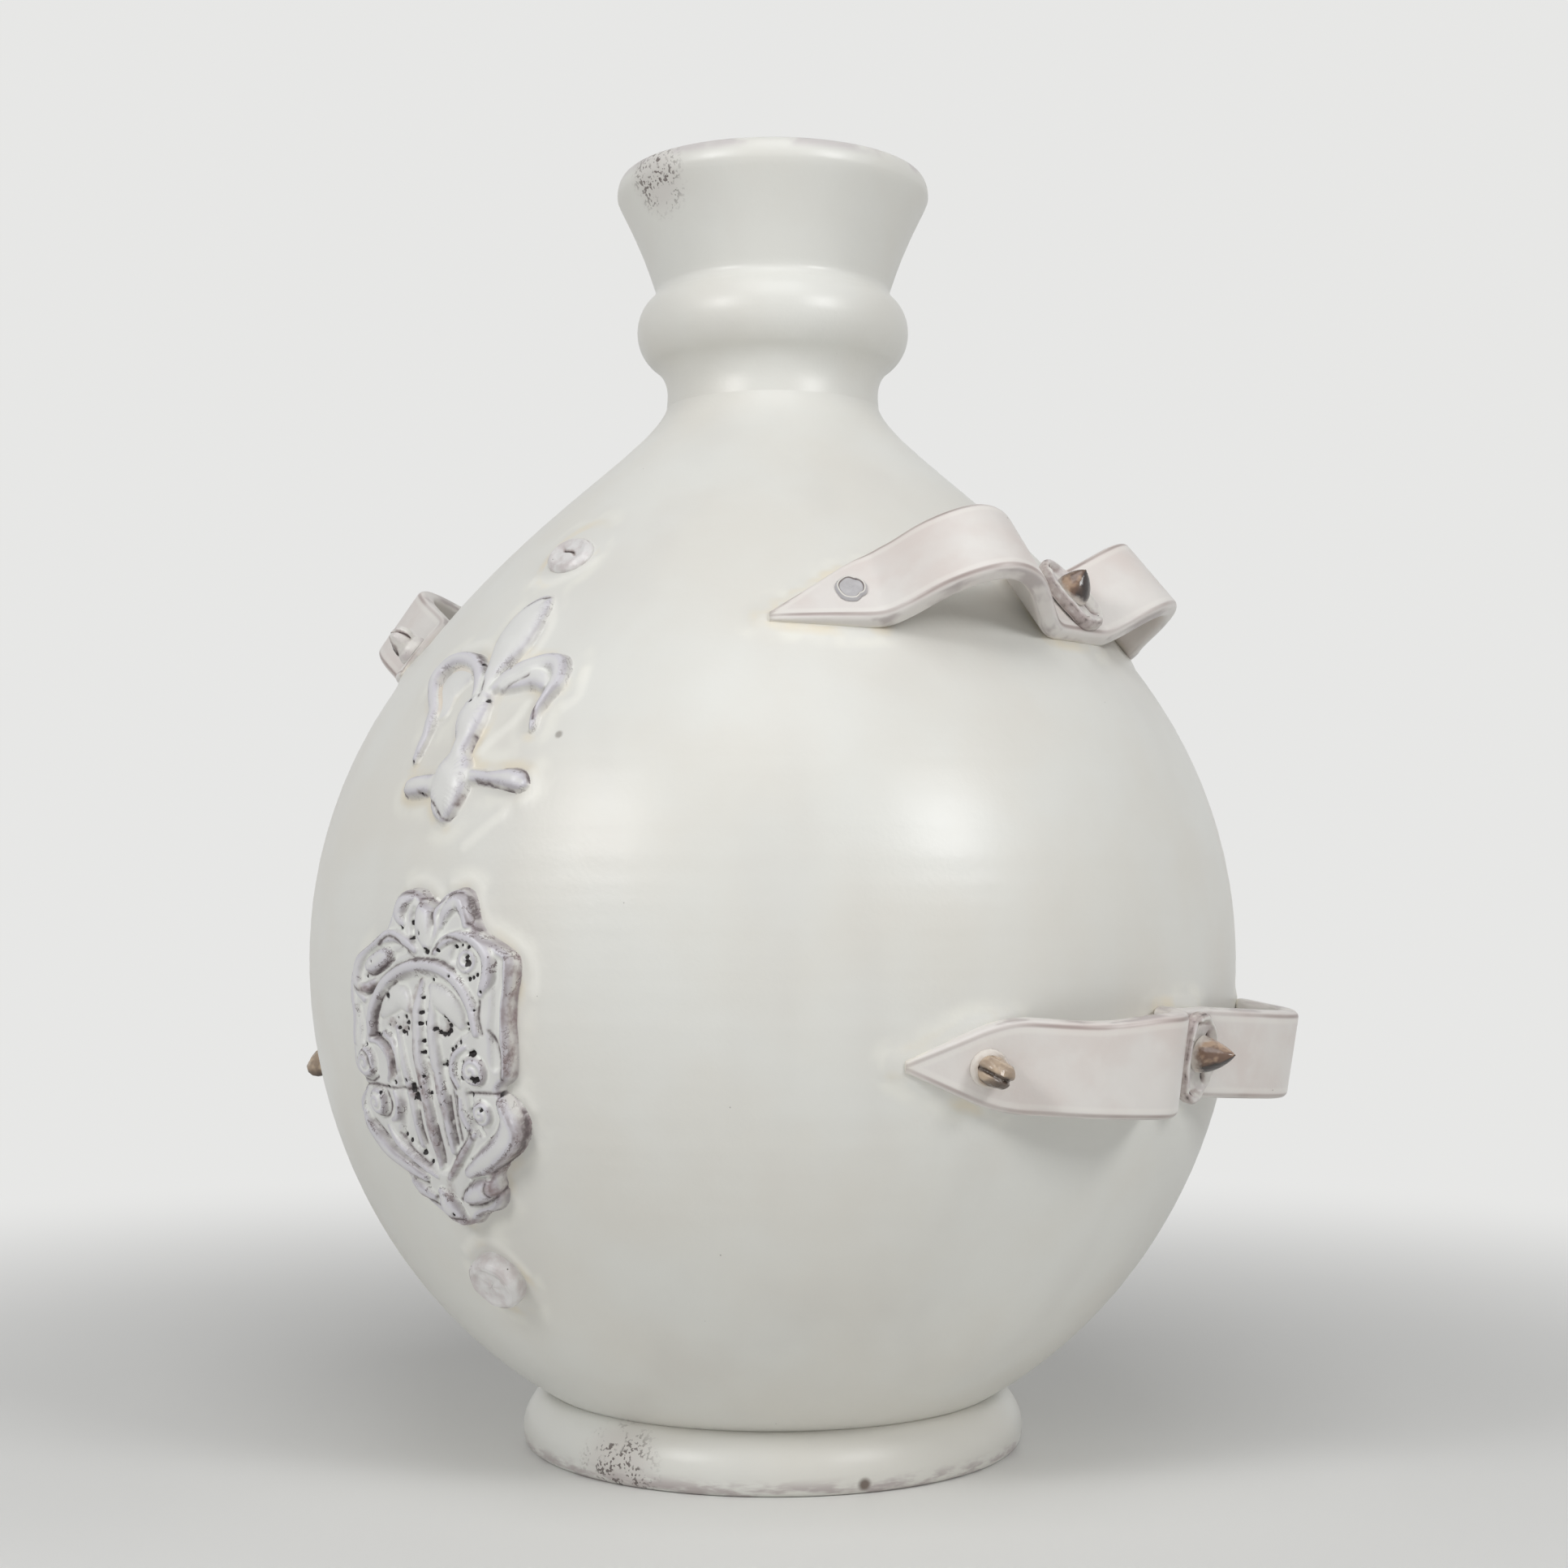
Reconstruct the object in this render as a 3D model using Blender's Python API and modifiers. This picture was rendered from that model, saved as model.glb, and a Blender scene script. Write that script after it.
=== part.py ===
"""A globe vase in white glazed stoneware, with four buckled straps, a lily and a scrolled shield.

Every length is in metres and +Z is up. The origin is on the table, under the middle of the foot.
The ornamented front faces -Y. An azimuth is turned from the front towards +X, in degrees.
The vessel is thrown in four pieces, and the straps, studs, buttons and relief are laid on it.
"""

import math

import bmesh
import bpy
from mathutils import Matrix, Vector

# One unit of the relief tables, and the height in them at which the belly lies
RELIEF_UNIT = 0.001
BELLY_ROW = 153.0

# The hairline of slip left between two pieces of clay that are luted together
SEAM = 0.0003

# Heights, stacked down from the lip: the funnel, the collar under it, and the globe under that
TOTAL_HEIGHT = 0.400
FUNNEL_LENGTH = 0.0385
FUNNEL_HEIGHT = TOTAL_HEIGHT - FUNNEL_LENGTH
COLLAR_LENGTH = 0.0315
NECK_HEIGHT = FUNNEL_HEIGHT - COLLAR_LENGTH

# Globe: a sphere above the belly, a slightly deeper ellipse below it, and a drawn-in shoulder
GLOBE_RADIUS = 0.1453
BELLY_HEIGHT = 0.153
LOWER_DEPTH = BELLY_HEIGHT + 0.0025
SHOULDER_HEIGHT = BELLY_HEIGHT + 0.082
SHOULDER_PULL = 0.0701
NECK_PULL = 0.0162
GLOBE_WALL = 0.007
GLOBE_BASE_HEIGHT = 0.007
FLOOR_THICKNESS = 0.009

# Neck collar: a waist and a fat bead
NECK_RADIUS = 0.0333
NECK_WALL = 0.0065
BEAD_RADIUS = 0.0432
BEAD_HEIGHT = FUNNEL_HEIGHT - COLLAR_LENGTH / 3
BEAD_DEPTH = 0.011
BEAD_HALF_HEIGHT = 0.0125
TONGUE_WIDTH = 0.0025
TONGUE_HEIGHT = 0.003

# Mouth funnel
FUNNEL_RADIUS = 0.0374
FUNNEL_WALL = 0.0065
FUNNEL_FOOT = 0.003
MOUTH_RADIUS = 0.0496
LIP_THICKNESS = 0.0072
LIP_HEIGHT = 0.0055

# Foot ring
FOOT_RADIUS = 0.0792
FOOT_BULGE_HEIGHT = 0.0055
FOOT_BASE_RADIUS = 0.0768
FOOT_TOP_HEIGHT = 0.0175
FOOT_BORE_RADIUS = 0.060

# Facets round the vessel and round its neck
GLOBE_STEPS = 60
NECK_STEPS = 36

# Straps: flat bands of clay with pointed ends, arched twice and pinched down between the arches
STRAP_WIDTH = 0.026
STRAP_THICKNESS = 0.006
STRAP_ROUNDING = 0.0018
POINT_LENGTH = 0.026
POINT_BLUNTNESS = 0.0016
POINT_THINNING = 0.3
STRAP_SINK = 0.0008
PINCH_AZIMUTH = 91.0
STUD_SETBACK = 0.023
RIGHT_LOWER_HEIGHT = BELLY_HEIGHT - 0.0245
LEFT_LOWER_HEIGHT = BELLY_HEIGHT - 0.0335
RIGHT_UPPER_HEIGHT = SHOULDER_HEIGHT + 0.0205
LEFT_UPPER_HEIGHT = SHOULDER_HEIGHT + 0.0135
UPPER_POINT_DROOP = 0.009

# Centre line of a strap: length along the globe from the pinch, and rise above the flat pads
LOWER_ARCHES = (
    (-0.096, 0.0), (-0.081, 0.0), (-0.0685, 0.0), (-0.0600, 0.0030), (-0.050, 0.0088), (-0.033, 0.0160),
    (-0.0260, 0.0165), (-0.0190, 0.0090), (-0.0140, 0.0012), (-0.0080, 0.0), (0.0080, 0.0),
    (0.0140, 0.0014), (0.0300, 0.0116), (0.0440, 0.0172), (0.0550, 0.0098), (0.0600, 0.0016),
    (0.0665, 0.0), (0.079, 0.0), (0.095, 0.0),
)
UPPER_ARCHES = (
    (-0.096, 0.0), (-0.081, 0.0), (-0.0685, 0.0), (-0.0615, 0.0042), (-0.0540, 0.0128), (-0.0430, 0.0214),
    (-0.0330, 0.0190), (-0.0235, 0.0086), (-0.0155, 0.0012), (-0.0080, 0.0), (0.0080, 0.0),
    (0.0150, 0.0022), (0.0240, 0.0138), (0.0330, 0.0178), (0.0410, 0.0124), (0.0465, 0.0020),
    (0.0530, 0.0), (0.067, 0.0), (0.082, 0.0),
)

# Keeper discs on the pinches, with their spikes, and the studs near the strap points
KEEPER_RADIUS = 0.0138
KEEPER_PINCH = 0.68
KEEPER_THICKNESS = 0.0032
KEEPER_DISH = 0.0012
SPIKE_RADIUS = 0.0048
SPIKE_HEIGHT = 0.0118
SPIKE_TIP = 0.0014
STUD_RADIUS = 0.0047
STUD_HEIGHT = 0.0098
STUD_COLLAR = 0.0053
STUMP_RADIUS = 0.0051
STUMP_HEIGHT = 0.0018
KEEPER_STEPS = 16
SMALL_STEPS = 12
SPIKE_STEPS = 8

# Buttons above and below the relief; their places are sideways and height in relief units
BUTTON_RADIUS = 0.0090
DOME_HEIGHT = 0.0036
DISC_HEIGHT = 0.0050
DISC_RIM = 0.0018
UPPER_BUTTON_PLACE = (-2.6, 271.2)
LOWER_BUTTON_PLACE = (-0.8, 66.0)
BUTTON_SINK = 0.0015

# Relief: rows of sideways place, height, half width and rise of a roll of clay, in relief units
LILY_ROLLS = (
    ("lily_stem", ((-2.6, 227.0, 3.2, 2.4), (-4.0, 222.0, 5.6, 3.5), (-3.1, 215.6, 3.5, 3.1),
                   (-3.4, 210.6, 3.6, 3.1), (-3.8, 204.6, 7.0, 3.8), (-4.0, 199.4, 5.8, 3.3),
                   (-3.4, 194.6, 2.0, 1.8)), ()),
    ("lily_centre_petal", ((1.2, 256.4, 1.4, 1.2), (0.2, 253.6, 4.4, 2.3), (-1.2, 249.6, 6.6, 3.0),
                           (-1.8, 245.0, 7.2, 3.2), (-2.4, 240.0, 5.4, 3.1), (-3.0, 235.0, 3.4, 2.6),
                           (-3.2, 230.6, 2.3, 2.1), (-3.0, 227.0, 2.0, 1.9)), ("lily_stem",)),
    ("lily_left_petal", ((-5.6, 226.6, 1.6, 1.6), (-7.4, 231.6, 1.9, 1.9), (-10.0, 236.0, 2.2, 2.4),
                         (-15.0, 238.8, 2.4, 2.8), (-21.6, 239.6, 2.5, 3.1), (-27.6, 237.9, 2.7, 3.1),
                         (-29.4, 233.4, 2.6, 3.0), (-26.2, 229.0, 2.3, 2.7), (-23.0, 225.0, 2.1, 2.4),
                         (-22.2, 219.6, 1.9, 2.0), (-22.8, 215.0, 1.7, 1.7), (-24.0, 211.0, 1.2, 1.2)),
     ("lily_stem", "lily_centre_petal")),
    ("lily_right_petal", ((-0.6, 230.0, 1.6, 1.7), (3.2, 233.0, 2.5, 2.4), (8.6, 235.2, 2.8, 2.8),
                          (14.4, 236.6, 2.7, 2.9), (19.6, 235.8, 2.7, 3.0), (21.8, 231.4, 2.4, 2.7),
                          (20.2, 226.8, 1.6, 2.3), (18.9, 222.4, 1.3, 1.9), (19.4, 218.6, 1.0, 1.4)),
     ("lily_stem", "lily_centre_petal")),
    ("lily_left_toe", ((-5.0, 204.4, 2.6, 2.1), (-11.0, 203.6, 2.9, 2.5), (-16.0, 203.2, 3.0, 2.8),
                       (-20.4, 202.9, 2.8, 2.5), (-23.2, 202.2, 1.4, 1.4)), ("lily_stem",)),
    ("lily_right_toe", ((-3.0, 205.6, 2.0, 1.8), (4.0, 205.4, 1.9, 1.8), (10.0, 204.8, 1.8, 1.9),
                        (16.0, 204.5, 2.6, 2.6), (20.2, 203.9, 2.9, 2.6), (22.8, 203.0, 1.5, 1.5)),
     ("lily_stem",)),
)

# Scrolled shield: the outline of its plate, and the rolls and bosses that lie on the plate
PLATE_THICKNESS = 0.0038
PLATE_OUTLINE = (
    (1.0, 169.6), (4.6, 173.2), (9.4, 174.6), (13.4, 172.2), (15.2, 167.0), (17.6, 163.0), (23.4, 159.8),
    (28.0, 156.6), (28.2, 151.6), (26.8, 144.6), (26.4, 137.0), (26.2, 130.0), (25.0, 124.6),
    (21.6, 121.6), (24.0, 118.4), (26.8, 114.0), (27.0, 109.4), (23.8, 105.2), (18.6, 101.4),
    (15.0, 98.0), (14.8, 92.4), (11.6, 88.2), (5.8, 86.4), (1.8, 83.4), (-3.0, 82.6), (-10.0, 85.8),
    (-18.6, 91.6), (-20.6, 96.0), (-26.0, 100.2), (-31.6, 105.4), (-35.6, 111.0), (-36.4, 116.4),
    (-32.4, 120.8), (-36.4, 124.4), (-37.2, 130.0), (-36.2, 138.0), (-35.2, 146.0), (-34.8, 151.6),
    (-31.4, 156.0), (-25.4, 159.2), (-19.4, 162.6), (-16.6, 167.0), (-15.4, 171.6), (-11.4, 174.4),
    (-6.0, 173.8), (-2.0, 171.0),
)
PLATE_STOCK = 0.060
SHIELD_ROLLS = (
    ("shield_rim", ((-26.0, 133.4, 1.2, 1.0), (-24.6, 140.0, 1.7, 1.3), (-20.6, 146.2, 1.8, 1.4),
                    (-14.0, 151.2, 1.8, 1.4), (-5.0, 154.0, 1.8, 1.4), (4.0, 153.6, 1.8, 1.4),
                    (11.0, 149.8, 1.8, 1.4), (15.0, 144.0, 1.8, 1.4), (16.6, 136.6, 1.2, 1.0)), ()),
    ("shield_left_rib", ((-14.0, 137.0, 1.0, 0.8), (-12.6, 128.0, 1.6, 1.3), (-10.8, 116.0, 1.7, 1.4),
                         (-10.4, 105.0, 1.1, 1.0)), ()),
    ("shield_middle_rib", ((-3.0, 149.6, 1.0, 0.9), (-4.6, 140.0, 1.9, 1.5), (-5.2, 130.0, 2.0, 1.7),
                           (-4.4, 118.0, 1.9, 1.6), (-4.4, 108.0, 1.7, 1.5), (-4.6, 99.6, 1.1, 1.0)), ()),
    ("shield_right_rib", ((1.6, 147.6, 1.0, 0.9), (0.8, 137.0, 1.8, 1.4), (0.9, 126.0, 1.8, 1.5),
                          (2.0, 114.0, 1.6, 1.4), (1.6, 104.0, 1.1, 1.0)), ()),
    ("crown_leaf", ((-1.4, 171.2, 1.4, 1.1), (-1.6, 168.0, 3.1, 1.9), (-1.2, 163.5, 3.3, 1.9),
                    (-0.4, 159.4, 1.5, 1.2)), ()),
    ("crown_left_lobe", ((-10.4, 165.0, 1.2, 1.0), (-12.0, 167.8, 2.1, 1.7), (-10.4, 170.6, 2.1, 1.7),
                         (-7.4, 171.8, 1.2, 1.1)), ()),
    ("crown_right_lobe", ((4.8, 164.6, 1.1, 1.0), (6.4, 168.0, 1.8, 1.5), (9.8, 171.0, 2.1, 1.7),
                          (12.6, 168.6, 1.8, 1.6), (13.6, 164.8, 1.1, 1.0)), ()),
    ("upper_left_scroll", ((-4.8, 158.0, 1.0, 0.9), (-8.6, 160.2, 1.6, 1.3), (-13.4, 161.6, 1.8, 1.5),
                           (-19.6, 160.6, 2.0, 1.5), (-26.6, 157.6, 2.1, 1.6), (-30.4, 152.6, 2.1, 1.6),
                           (-30.4, 147.4, 1.9, 1.5), (-27.6, 144.2, 1.1, 1.0)), ()),
    ("upper_right_scroll", ((2.8, 157.8, 1.0, 0.9), (6.0, 160.4, 1.4, 1.3), (11.0, 161.8, 1.5, 1.4),
                            (16.4, 160.8, 1.6, 1.5), (20.6, 156.8, 1.8, 1.6), (21.0, 151.4, 1.8, 1.5),
                            (18.8, 147.0, 1.1, 1.0)), ()),
    ("left_frame", ((-33.2, 112.6, 1.3, 1.2), (-31.2, 108.2, 2.2, 2.0), (-25.4, 103.8, 2.4, 2.3),
                    (-17.6, 99.6, 2.3, 2.2), (-11.4, 96.4, 1.3, 1.3)), ()),
    ("right_horn", ((22.4, 118.4, 1.6, 1.6), (24.6, 113.6, 3.2, 3.0), (21.8, 107.8, 3.7, 3.4),
                    (14.6, 103.0, 3.3, 3.0), (7.0, 99.0, 1.7, 1.6)), ()),
    ("bottom_tip", ((-6.2, 92.6, 1.4, 1.3), (-4.0, 89.0, 3.2, 2.6), (-0.8, 85.8, 2.0, 1.8)), ()),
    ("bottom_roll", ((3.6, 91.8, 1.6, 1.5), (6.8, 93.2, 2.8, 2.7), (10.8, 94.8, 2.9, 2.9),
                     (13.4, 95.6, 1.7, 1.8)), ()),
    ("bottom_left_roll", ((-17.0, 94.8, 1.2, 1.1), (-13.6, 92.6, 1.9, 1.7), (-10.0, 91.0, 1.1, 1.1)), ()),
)
SHIELD_BOSSES = (
    ("upper_left_boss", -20.0, 154.8, 3.6, 1.5), ("upper_right_boss", 14.6, 155.4, 3.6, 1.4),
    ("middle_left_volute", -28.6, 126.8, 4.6, 2.2), ("middle_right_volute", 15.2, 126.8, 4.8, 2.3),
    ("lower_left_volute", -26.4, 116.4, 4.0, 2.2), ("lower_right_volute", 16.2, 115.8, 4.0, 2.0),
)
ROLL_DEPTH = 0.0016
BOSS_DEPTH = 0.001
ROLL_STEPS = 2


def clear_scene():
    """Remove whatever the scene holds before the vase is built."""
    for item in list(bpy.data.objects):
        bpy.data.objects.remove(item, do_unlink=True)


def new_collection(name):
    """Make a collection and hang it in the scene."""
    collection = bpy.data.collections.new(name)
    bpy.context.scene.collection.children.link(collection)
    return collection


def new_material(name, colour, roughness):
    """Make a plain ceramic material of one colour."""
    material = bpy.data.materials.new(name)
    material.use_nodes = True
    shader = material.node_tree.nodes["Principled BSDF"]
    shader.inputs["Base Color"].default_value = (*colour, 1.0)
    shader.inputs["Roughness"].default_value = roughness
    shader.inputs["Metallic"].default_value = 0.0
    material.diffuse_color = (*colour, 1.0)
    return material


WHITE_GLAZE = ((0.80, 0.80, 0.76), 0.25)
STRAP_GLAZE = ((0.80, 0.76, 0.74), 0.30)
THIN_GLAZE = ((0.70, 0.69, 0.71), 0.35)
BRONZE_GLAZE = ((0.22, 0.14, 0.10), 0.25)


def add_object(name, mesh, collection, glaze):
    """Put a mesh in the collection under its own name, with its own material."""
    mesh.materials.append(new_material(name + "_glaze", *glaze))
    item = bpy.data.objects.new(name, mesh)
    collection.objects.link(item)
    return item


def hide_as_cutter(item):
    """Mark a shape that only cuts others."""
    item.hide_render = True
    item.display_type = "WIRE"
    return item


def bezier(start, pull, push, end, count):
    """Points on a cubic curve from start to end, both ends included."""
    points = []
    for i in range(count + 1):
        t = i / count
        weights = ((1 - t) ** 3, 3 * t * (1 - t) ** 2, 3 * t * t * (1 - t), t ** 3)
        points.append(tuple(sum(w * p[k] for w, p in zip(weights, (start, pull, push, end)))
                            for k in range(2)))
    return points


def smooth_through(points, steps):
    """A smooth curve through the points, with the given number of steps between two of them."""
    rows = [Vector(p) for p in points]
    ends = [rows[0] * 2 - rows[1]] + rows + [rows[-1] * 2 - rows[-2]]
    curve = []
    for a, b, c, d in zip(ends, ends[1:], ends[2:], ends[3:]):
        for i in range(steps):
            t = i / steps
            curve.append(0.5 * (2 * b + (c - a) * t + (2 * a - 5 * b + 4 * c - d) * t ** 2
                                + (3 * b - a - 3 * c + d) * t ** 3))
    return curve + [rows[-1]]


def globe_outline():
    """The globe's outer profile as radius and height, from the neck down to its flat bottom."""
    rise = SHOULDER_HEIGHT - BELLY_HEIGHT
    shoulder_radius = math.sqrt(GLOBE_RADIUS ** 2 - rise ** 2)
    shoulder = (shoulder_radius, SHOULDER_HEIGHT)
    pulled = (shoulder_radius - SHOULDER_PULL * rise / GLOBE_RADIUS,
              SHOULDER_HEIGHT + SHOULDER_PULL * shoulder_radius / GLOBE_RADIUS)
    neck = (NECK_RADIUS, NECK_HEIGHT)
    points = bezier(shoulder, pulled, (NECK_RADIUS, NECK_HEIGHT - NECK_PULL), neck, 7)[::-1]
    top_angle = math.asin(rise / GLOBE_RADIUS)
    arc_steps = 4
    for i in range(1, arc_steps + 1):
        angle = top_angle * (1 - i / arc_steps)
        points.append((GLOBE_RADIUS * math.cos(angle), BELLY_HEIGHT + GLOBE_RADIUS * math.sin(angle)))
    base_angle = math.asin((BELLY_HEIGHT - GLOBE_BASE_HEIGHT) / LOWER_DEPTH)
    lower_steps = 8
    for i in range(1, lower_steps + 1):
        angle = base_angle * i / lower_steps
        points.append((GLOBE_RADIUS * math.cos(angle), BELLY_HEIGHT - LOWER_DEPTH * math.sin(angle)))
    return points


def offset_outline(points, distance):
    """Move a profile outwards, square to itself; a negative distance moves it inwards."""
    moved = []
    for i, point in enumerate(points):
        before = Vector(points[max(i - 1, 0)])
        after = Vector(points[min(i + 1, len(points) - 1)])
        here = Vector(point)
        sides = [step.normalized() for step in (here - before, after - here) if step.length > 0]
        run = sum(sides, Vector((0.0, 0.0))).normalized()
        outward = Vector((-run.y, run.x))
        spread = outward.dot(Vector((-sides[0].y, sides[0].x)))
        moved.append(tuple(here + outward * distance / spread))
    return moved


def globe_at(height):
    """The globe's radius at a height, and its outward normal there, as radius and height."""
    outline = globe_outline()
    for upper, lower in zip(outline, outline[1:]):
        if lower[1] <= height <= upper[1]:
            share = (upper[1] - height) / (upper[1] - lower[1])
            radius = upper[0] + (lower[0] - upper[0]) * share
            break
    else:
        upper, lower = outline[-2], outline[-1]
        radius = lower[0]
    if height >= SHOULDER_HEIGHT:
        run = Vector(lower) - Vector(upper)
        normal = Vector((-run.y, run.x)).normalized()
    else:
        depth = GLOBE_RADIUS if height > BELLY_HEIGHT else LOWER_DEPTH
        normal = Vector((radius / GLOBE_RADIUS ** 2, (height - BELLY_HEIGHT) / depth ** 2)).normalized()
    return radius, normal


def outline_radius(outline, height):
    """The radius of a falling profile at a height."""
    for upper, lower in zip(outline, outline[1:]):
        if lower[1] <= height <= upper[1]:
            share = (upper[1] - height) / (upper[1] - lower[1])
            return upper[0] + (lower[0] - upper[0]) * share
    return outline[-1][0]


def compass(azimuth):
    """The outward and the sideways direction at an azimuth in degrees."""
    angle = math.radians(azimuth)
    outward = Vector((math.sin(angle), -math.cos(angle), 0.0))
    sideways = Vector((math.cos(angle), math.sin(angle), 0.0))
    return outward, sideways


def turned(name, outline, steps, collection, glaze):
    """Turn a profile round the Z axis; it runs down its outer side, and closes if off the axis."""
    mesh = bpy.data.meshes.new(name)
    closed = outline[0][0] > 0
    edges = [(i, i + 1) for i in range(len(outline) - 1)]
    if closed:
        edges.append((len(outline) - 1, 0))
    mesh.from_pydata([(radius, 0.0, height) for radius, height in outline], edges, [])
    item = add_object(name, mesh, collection, glaze)
    screw = item.modifiers.new("Turn", "SCREW")
    screw.axis = "Z"
    screw.angle = math.tau
    screw.steps = steps
    screw.render_steps = steps
    screw.use_merge_vertices = True
    screw.merge_threshold = 0.00001
    screw.use_smooth_shade = True
    return item


def cut(item, cutter, operation="DIFFERENCE"):
    """Cut an object by another with an exact Boolean."""
    boolean = item.modifiers.new("Seat", "BOOLEAN")
    boolean.operation = operation
    boolean.solver = "EXACT"
    boolean.object = cutter


def tongue(bore, height):
    """The raised inner edge of a lower piece, from the bore outwards."""
    return [(bore, height + TONGUE_HEIGHT), (bore + TONGUE_WIDTH, height + TONGUE_HEIGHT),
            (bore + TONGUE_WIDTH, height)]


def rebate(bore, height):
    """The step under an upper piece that takes the tongue, from the outside inwards."""
    return [(bore + TONGUE_WIDTH + SEAM, height + SEAM),
            (bore + TONGUE_WIDTH + SEAM, height + TONGUE_HEIGHT + SEAM),
            (bore, height + TONGUE_HEIGHT + SEAM)]


def make_globe(collection):
    """The thrown globe: a thick bottom, an even wall and a tongue for the collar."""
    outer = globe_outline()
    bore = NECK_RADIUS - NECK_WALL
    floor = GLOBE_BASE_HEIGHT + FLOOR_THICKNESS
    inner = [p for p in offset_outline(outer, -GLOBE_WALL)[1::2] if p[1] > floor][::-1]
    floor_radius = outline_radius(offset_outline(outer, -GLOBE_WALL), floor)
    outline = [(0.0, floor), (floor_radius, floor)] + inner + tongue(bore, NECK_HEIGHT)
    outline += outer + [(0.0, GLOBE_BASE_HEIGHT)]
    return turned("globe_body", outline, GLOBE_STEPS, collection, WHITE_GLAZE)


def make_collar(collection):
    """The neck's waist and bead, seated on the globe and carrying the funnel."""
    bore = NECK_RADIUS - NECK_WALL
    top_bore = FUNNEL_RADIUS - FUNNEL_WALL
    outline = [(bore, NECK_HEIGHT + TONGUE_HEIGHT + SEAM)] + tongue(top_bore, FUNNEL_HEIGHT)
    outline.append((FUNNEL_RADIUS, FUNNEL_HEIGHT))
    ring = BEAD_RADIUS - BEAD_DEPTH
    bead_steps = 6
    top_angle = math.radians(56.0)
    for i in range(bead_steps + 1):
        angle = top_angle * (1 - 2 * i / bead_steps)
        outline.append((ring + BEAD_DEPTH * math.cos(angle),
                        BEAD_HEIGHT + BEAD_HALF_HEIGHT * math.sin(angle)))
    foot = outline[-1]
    seat = (NECK_RADIUS, NECK_HEIGHT + SEAM)
    middle = (seat[1] + foot[1]) / 2
    outline += bezier(foot, (foot[0] - (foot[0] - seat[0]) * 0.6, middle + (foot[1] - middle) * 0.6),
                      (seat[0], middle), seat, 3)[1:]
    outline += rebate(bore, NECK_HEIGHT)[:2]
    return turned("neck_collar", outline, NECK_STEPS, collection, WHITE_GLAZE)


def make_funnel(collection):
    """The flared mouth with its rounded lip."""
    bore = FUNNEL_RADIUS - FUNNEL_WALL
    half = LIP_THICKNESS / 2
    outline = [(bore, FUNNEL_HEIGHT + TONGUE_HEIGHT + SEAM)]
    lip_steps = 6
    for i in range(lip_steps + 1):
        angle = math.radians(195.0 - 210.0 * i / lip_steps)
        outline.append((MOUTH_RADIUS - half + half * math.cos(angle),
                        TOTAL_HEIGHT - LIP_HEIGHT + LIP_HEIGHT * math.sin(angle)))
    outline.append((FUNNEL_RADIUS, FUNNEL_HEIGHT + FUNNEL_FOOT))
    outline.append((FUNNEL_RADIUS, FUNNEL_HEIGHT + SEAM))
    outline += rebate(bore, FUNNEL_HEIGHT)[:2]
    return turned("mouth_funnel", outline, NECK_STEPS, collection, WHITE_GLAZE)


def make_foot(collection):
    """The foot ring, whose inner side follows the globe's flank."""
    flank = offset_outline(globe_outline(), SEAM)
    top_radius = outline_radius(flank, FOOT_TOP_HEIGHT)
    rising = flank[::-1]
    seat = [p for p in rising if FOOT_BORE_RADIUS < p[0] and p[1] < FOOT_TOP_HEIGHT]
    bore_height = next(low[1] + (high[1] - low[1]) * (FOOT_BORE_RADIUS - low[0]) / (high[0] - low[0])
                       for low, high in zip(rising, rising[1:]) if low[0] <= FOOT_BORE_RADIUS < high[0])
    outline = [(FOOT_BORE_RADIUS, 0.0), (FOOT_BORE_RADIUS, bore_height)] + seat
    top = (top_radius, FOOT_TOP_HEIGHT)
    bulge = (FOOT_RADIUS, FOOT_BULGE_HEIGHT)
    swell = (FOOT_RADIUS, FOOT_BULGE_HEIGHT + (FOOT_TOP_HEIGHT - FOOT_BULGE_HEIGHT) * 0.4)
    outline += bezier(top, (top_radius + (FOOT_RADIUS - top_radius) * 0.5, FOOT_TOP_HEIGHT - 0.0012),
                      swell, bulge, 4)
    outline += bezier(bulge, (FOOT_RADIUS, FOOT_BULGE_HEIGHT * 0.5),
                      (FOOT_RADIUS, FOOT_BULGE_HEIGHT * 0.15), (FOOT_BASE_RADIUS, 0.0), 2)[1:]
    return turned("foot_ring", outline, GLOBE_STEPS, collection, WHITE_GLAZE)


def globe_cutter(name, distance, collection):
    """A solid globe whose skin lies the given distance outside the real one."""
    skin = offset_outline(globe_outline(), distance)
    outline = [(0.0, skin[0][1])] + skin + [(0.0, skin[-1][1])]
    return hide_as_cutter(turned(name, outline, GLOBE_STEPS, collection, WHITE_GLAZE))


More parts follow.
